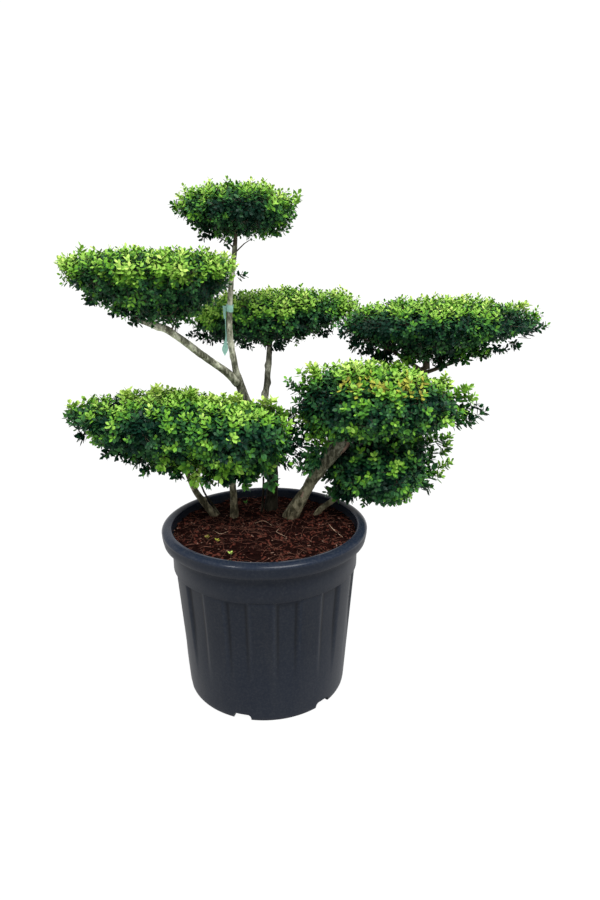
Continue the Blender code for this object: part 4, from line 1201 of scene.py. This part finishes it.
def leafBlade():
    # a rounded oval folded along its rib, one metre long so that reach sets its size
    half, fold, curl = leaf["width"] / 2, leaf["fold"], leaf["curl"]
    points = [(0, 0, 0), (-half * 0.84, 0.30, fold), (-half, 0.66, fold), (0, 0.48, 0.02),
              (half * 0.84, 0.30, fold), (half, 0.66, fold), (0, 1.0, curl)]
    faces = [(0, 3, 1), (1, 3, 2), (2, 3, 6), (0, 4, 3), (4, 5, 3), (5, 6, 3)]
    return meshObject("leafBlade", points, faces, None)


def padPlace(pad, point):
    # level from -1 to 1, and how far inside the pad's skin the point lies
    x, _, z = pad["centre"]
    height = point.z - z - pad.get("slope", 0.0) * (point.x - x)
    level = max(-1.0, min(1.0, height / (pad["top"] if height > 0 else pad["drop"])))
    wide, tall = pad["dome"] if level >= 0 else pad["belly"]
    midX, midY = padMiddle(pad, level)
    reach = math.hypot(point.x - midX, point.y - midY) / padReach(pad, math.atan2(point.y - midY, point.x - midX))
    return level, max(0.0, shade["skin"] - (reach ** wide + abs(level) ** tall))


def sprayLight(pad, point, rng):
    # painted light and shade: lime on the lit top, painted shade of deep green below and in the hollows, and the
    # pad's own patches of painted light and shade
    level, depth = padPlace(pad, point)
    limit = pad["limit"]
    light = lerp(pad["deep"], shade["high"], smoothstep(limit - shade["blend"], limit + shade["blend"], level))
    light += shade["crest"] * smoothstep(limit, 1.0, level)
    broad = noise.noise(point * shade["patchScale"]) + shade["fineShare"] * noise.noise(point * growth["tuftScale"])
    light += shade["patchy"] * broad - shade["hollow"] * depth + min(0.0, level) * shade["underside"]
    for *place, radius, gain in pad["patches"]:
        light += gain / 100 * smoothstep(*shade["patchEdge"], (point - metres(*place)).length * 1000 / radius)
    golden = any((point - metres(*place)).length * 1000 < radius * rng.uniform(0.7, 1.2)
                 for *place, radius in pad.get("golden", []))
    return light + rng.gauss(0, shade["vary"]), golden


def tintOf(light, golden, rng):
    if golden and light > shade["goldFrom"] and rng.random() < shade["goldShare"]:
        return tintNumber["leafBronze" if rng.random() < shade["bronzeShare"] else "leafGold"]
    return next((tintNumber[name] for name, least in shade["steps"] if light > least), tintNumber["leafShade"])


def leafPoints(pad, shoots, rng, spans):
    count, many = leaf["perSpray"], len(shoots)
    starts, tips = (np.array([tuple(shoot[k]) for shoot in shoots]) for k in (0, 1))
    fill = np.array([shoot[3] for shoot in shoots])
    outward = np.array([tuple(outwardOf(pad, shoot[1])) for shoot in shoots])
    runs = unit(unit(tips - starts) * leaf["alongTwig"] + outward * leaf["outward"] * fill[:, None]
                + np.array([[0, 0, leaf["upward"]]]))
    side, up = sidesOf(runs)
    draw = np.random.default_rng(pad["seed"])
    spin = draw.uniform(0, tau, many)
    size = draw.uniform(*leaf["sprayVary"], many) * [pad["size"] * shoot[4] for shoot in shoots]
    lights = [sprayLight(pad, shoot[1], rng) for shoot in shoots]
    rows = []
    for k in range(count):
        share = k / (count - 1)
        turn = (spin + leaf["spiral"] * k + draw.normal(0, leaf["spinVary"], many))[:, None]
        radial = side * np.cos(turn) + up * np.sin(turn)
        angle = math.radians(lerp(leaf["tipAngle"], leaf["baseAngle"], share ** leaf["crowding"]))
        angle = (angle + draw.normal(0, leaf["angleVary"], many))[:, None]
        ahead = runs * np.cos(angle) + radial * np.sin(angle)
        facing = (runs * np.sin(angle) - radial * np.cos(angle) + [[0, 0, leaf["faceUp"]]]
                  + draw.normal(0, leaf["faceVary"], (many, 3)))
        growing = lerp(leaf["youngest"], 1.0, min(1.0, share * 3))
        reach = leaf["length"] * size * growing * draw.uniform(*leaf["sizeVary"], many)
        # younger leaves at a spray's tip are lighter and older ones at its base darker, which also paints the shade
        # inside the spray
        tint = [tintOf(light + shoot[2] + lerp(shade["youngTipLight"], shade["old"], share) + rng.gauss(0, shade["leafVary"]),
                       golden, rng) for (light, golden), shoot in zip(lights, shoots)]
        row = np.column_stack([tips - runs * (leaf["gap"] * k), unit(ahead), facing, reach, tint])
        rows.append(row[fill * count > k])
    rows = np.concatenate(rows)
    # a leaf that would reach into a limb is left out
    return rows[clearOfLimbs(rows[:, :3] + rows[:, 3:6] * rows[:, 9:10] * 0.6, spans, leaf["limbClearance"])]


def placeLeaves(name, rows, blade, tree):
    mesh = bpy.data.meshes.new(name)
    mesh.vertices.add(len(rows))
    mesh.vertices.foreach_set("co", rows[:, :3].astype(np.float32).ravel())
    columns = {"ahead": ("FLOAT_VECTOR", "vector", rows[:, 3:6]), "face": ("FLOAT_VECTOR", "vector", rows[:, 6:9]),
               "reach": ("FLOAT", "value", rows[:, 9]), "tint": ("INT", "value", rows[:, 10])}
    for label, (kind, field, values) in columns.items():
        values = values.astype(np.int32 if kind == "INT" else np.float32).ravel()
        mesh.attributes.new(label, kind, "POINT").data.foreach_set(field, values)
    cloud = applyTree(newObject(name, mesh), tree, {"Leaf": blade, "Size": 1.0})
    for label in columns:
        if label in cloud.data.attributes:
            cloud.data.attributes.remove(cloud.data.attributes[label])
    cloud.data.shade_smooth()
    return cloud


def makeMass(name, pad, blade, tree, spans):
    rng = random.Random(pad["seed"])
    path = splinePath(limbs[pad["foot"]]["joints"], 2)
    foot, radius = path[-1]
    ahead = (foot - path[-2][0]).normalized()
    pad["tip"] = foot
    heart = foot.lerp(Vector(pad["centre"]), growth["heart"])
    knee = foot + ahead * growth["knee"]
    atFoot, atKnee, atHeart = (radius * share for share in growth["footTaper"])
    twigs = [(foot - ahead * growth["sink"], knee, atFoot, atKnee), (knee, heart, atKnee, atHeart)]
    shoots = []
    grow(heart, atHeart, spreadTips(pad, rng, spans), rng, twigs, shoots)
    for x, z, tipX, tipZ, y, count, glow in pad["sprigs"]:
        growSprig(metres(x, y, z), metres(tipX, y, tipZ), count, glow / 100, rng, twigs, shoots)
    for thick, thin, *line in pad.get("forks", []):
        line = [metres(*place) for place in line]
        radii = np.linspace(thick / 10000, thin / 10000, len(line))
        twigs += zip(line, line[1:], radii, radii[1:])
    addToPart(twigMesh(f"twigs_{name}", twigs), "bark")
    rows = leafPoints(pad, shoots, rng, spans)
    cloud = addToPart(placeLeaves(f"leaves_{name}", rows, blade, tree), "foliage", name)
    print(f"{name}: {len(shoots)} sprays, {len(rows)} leaves, {len(cloud.data.polygons)} faces")


def makeStraws():
    points, faces, sides = [], [], 5
    for thick, *line in soil["straws"]:
        curve = splinePath([(x, y, soilHeight(x, y) + 0.004, thick) for x, y in line], 8)
        faces += tubeFaces(len(curve), sides, len(points))
        for k, (place, thick) in enumerate(curve):
            ahead = (curve[min(k + 1, len(curve) - 1)][0] - curve[max(k - 1, 0)][0]).normalized()
            side = Vector((0, 0, 1)).cross(ahead).normalized()
            reach = thick * (0.35 + 0.65 * math.sin(math.pi * (k + 1) / (len(curve) + 1)))
            points += circle(place, side, ahead.cross(side), reach, sides)
    addToPart(meshObject("soil_straws", points, faces, soilMaterial("straw", *soilColours["straw"])), "soil_bark")


def makeSeedlings(blade, tree):
    rng = random.Random(soil["seed"])
    rows, twigs = [], []
    for x, y, tall, count, tint in soil["seedlings"]:
        foot = Vector((x, y, soilHeight(x, y) - 0.002))
        tip = foot + Vector((rng.uniform(-0.25, 0.25), rng.uniform(-0.25, 0.25), 1.0)) * tall
        twigs.append((foot, tip, 0.0009, 0.0006))
        for k in range(count):
            turn = leaf["spiral"] * k
            ahead = Vector((math.cos(turn), math.sin(turn), rng.uniform(0.4, 1.5))).normalized()
            place, face = foot.lerp(tip, 0.6 + 0.4 * k / count), Vector((0, 0, 1)) - ahead * 0.4
            rows.append((*place, *ahead, *face, rng.uniform(0.008, 0.012), tintNumber[tint]))
    addToPart(twigMesh("twigs_seedlings", twigs), "bark")
    addToPart(placeLeaves("leaves_seedlings", np.array(rows), blade, tree), "foliage")


blade = leafBlade()
standing = leafTree()
spans = limbSpans()
for padName, padPlan in pads.items():
    makeMass(padName, padPlan, blade, standing, spans)
print("foliage ready")
makeStraws()
makeSeedlings(blade, standing)
drop(blade)
print("straws and seedlings ready")


# studio: pale floor, soft lights, the photograph's viewpoint

white = (1.0, 1.0, 1.0, 1.0)
studio = {
    "cameraPlace": (0.1033, -1.7603, 1.2468), "pitch": 16.323, "lens": 25.6, "sensor": 36.0,
    "floorSize": 900.0, "floorColour": 0.05, "floorGlow": 0.96, "skyGlow": 0.70, "backdrop": 1.05,
    "suns": {"softSun": ((0.50, -0.80, 1.45), 3.7, 34.0), "sideSun": ((-0.65, -0.75, 1.15), 0.9, 9.0)},
}


def makeStudio():
    scene = bpy.context.scene
    camera = bpy.data.cameras.new("camera")
    camera.lens, camera.sensor_width = studio["lens"], studio["sensor"]
    scene.camera = newObject("camera", camera)
    scene.camera.location = studio["cameraPlace"]
    scene.camera.rotation_euler = (math.radians(90 - studio["pitch"]), 0, 0)
    for name, (source, strength, angle) in studio["suns"].items():
        light = bpy.data.lights.new(name, "SUN")
        light.energy, light.angle = strength, math.radians(angle)
        newObject(name, light).rotation_euler = Vector(source).to_track_quat("Z", "Y").to_euler()
    # the backdrop is white to the eye and a dimmer sky to the object
    scene.world = bpy.data.worlds.new("studio")
    scene.world.use_nodes = True
    tree = scene.world.node_tree
    seen = addNode(tree, "ShaderNodeLightPath").outputs["Is Camera Ray"]
    feed(tree.nodes["Background"], {
        "Strength": mapRange(tree, seen, 0.0, 1.0, studio["skyGlow"], studio["backdrop"]), "Color": white})
    half, tone = studio["floorSize"] / 2, studio["floorColour"]
    paleFloor, tree, shader = newMaterial("paleFloor", 0.9, 0.1)
    feed(shader, {"Base Color": (tone, tone, tone, 1.0), "Emission Color": white,
                  "Emission Strength": studio["floorGlow"]})
    floor = meshObject("floor", [(-half, -half, 0), (half, -half, 0), (half, half, 0), (-half, half, 0)],
                       [(0, 1, 2, 3)], paleFloor, smooth=False)
    scene.view_settings.view_transform = "Standard"


makeStudio()
print("studio ready")
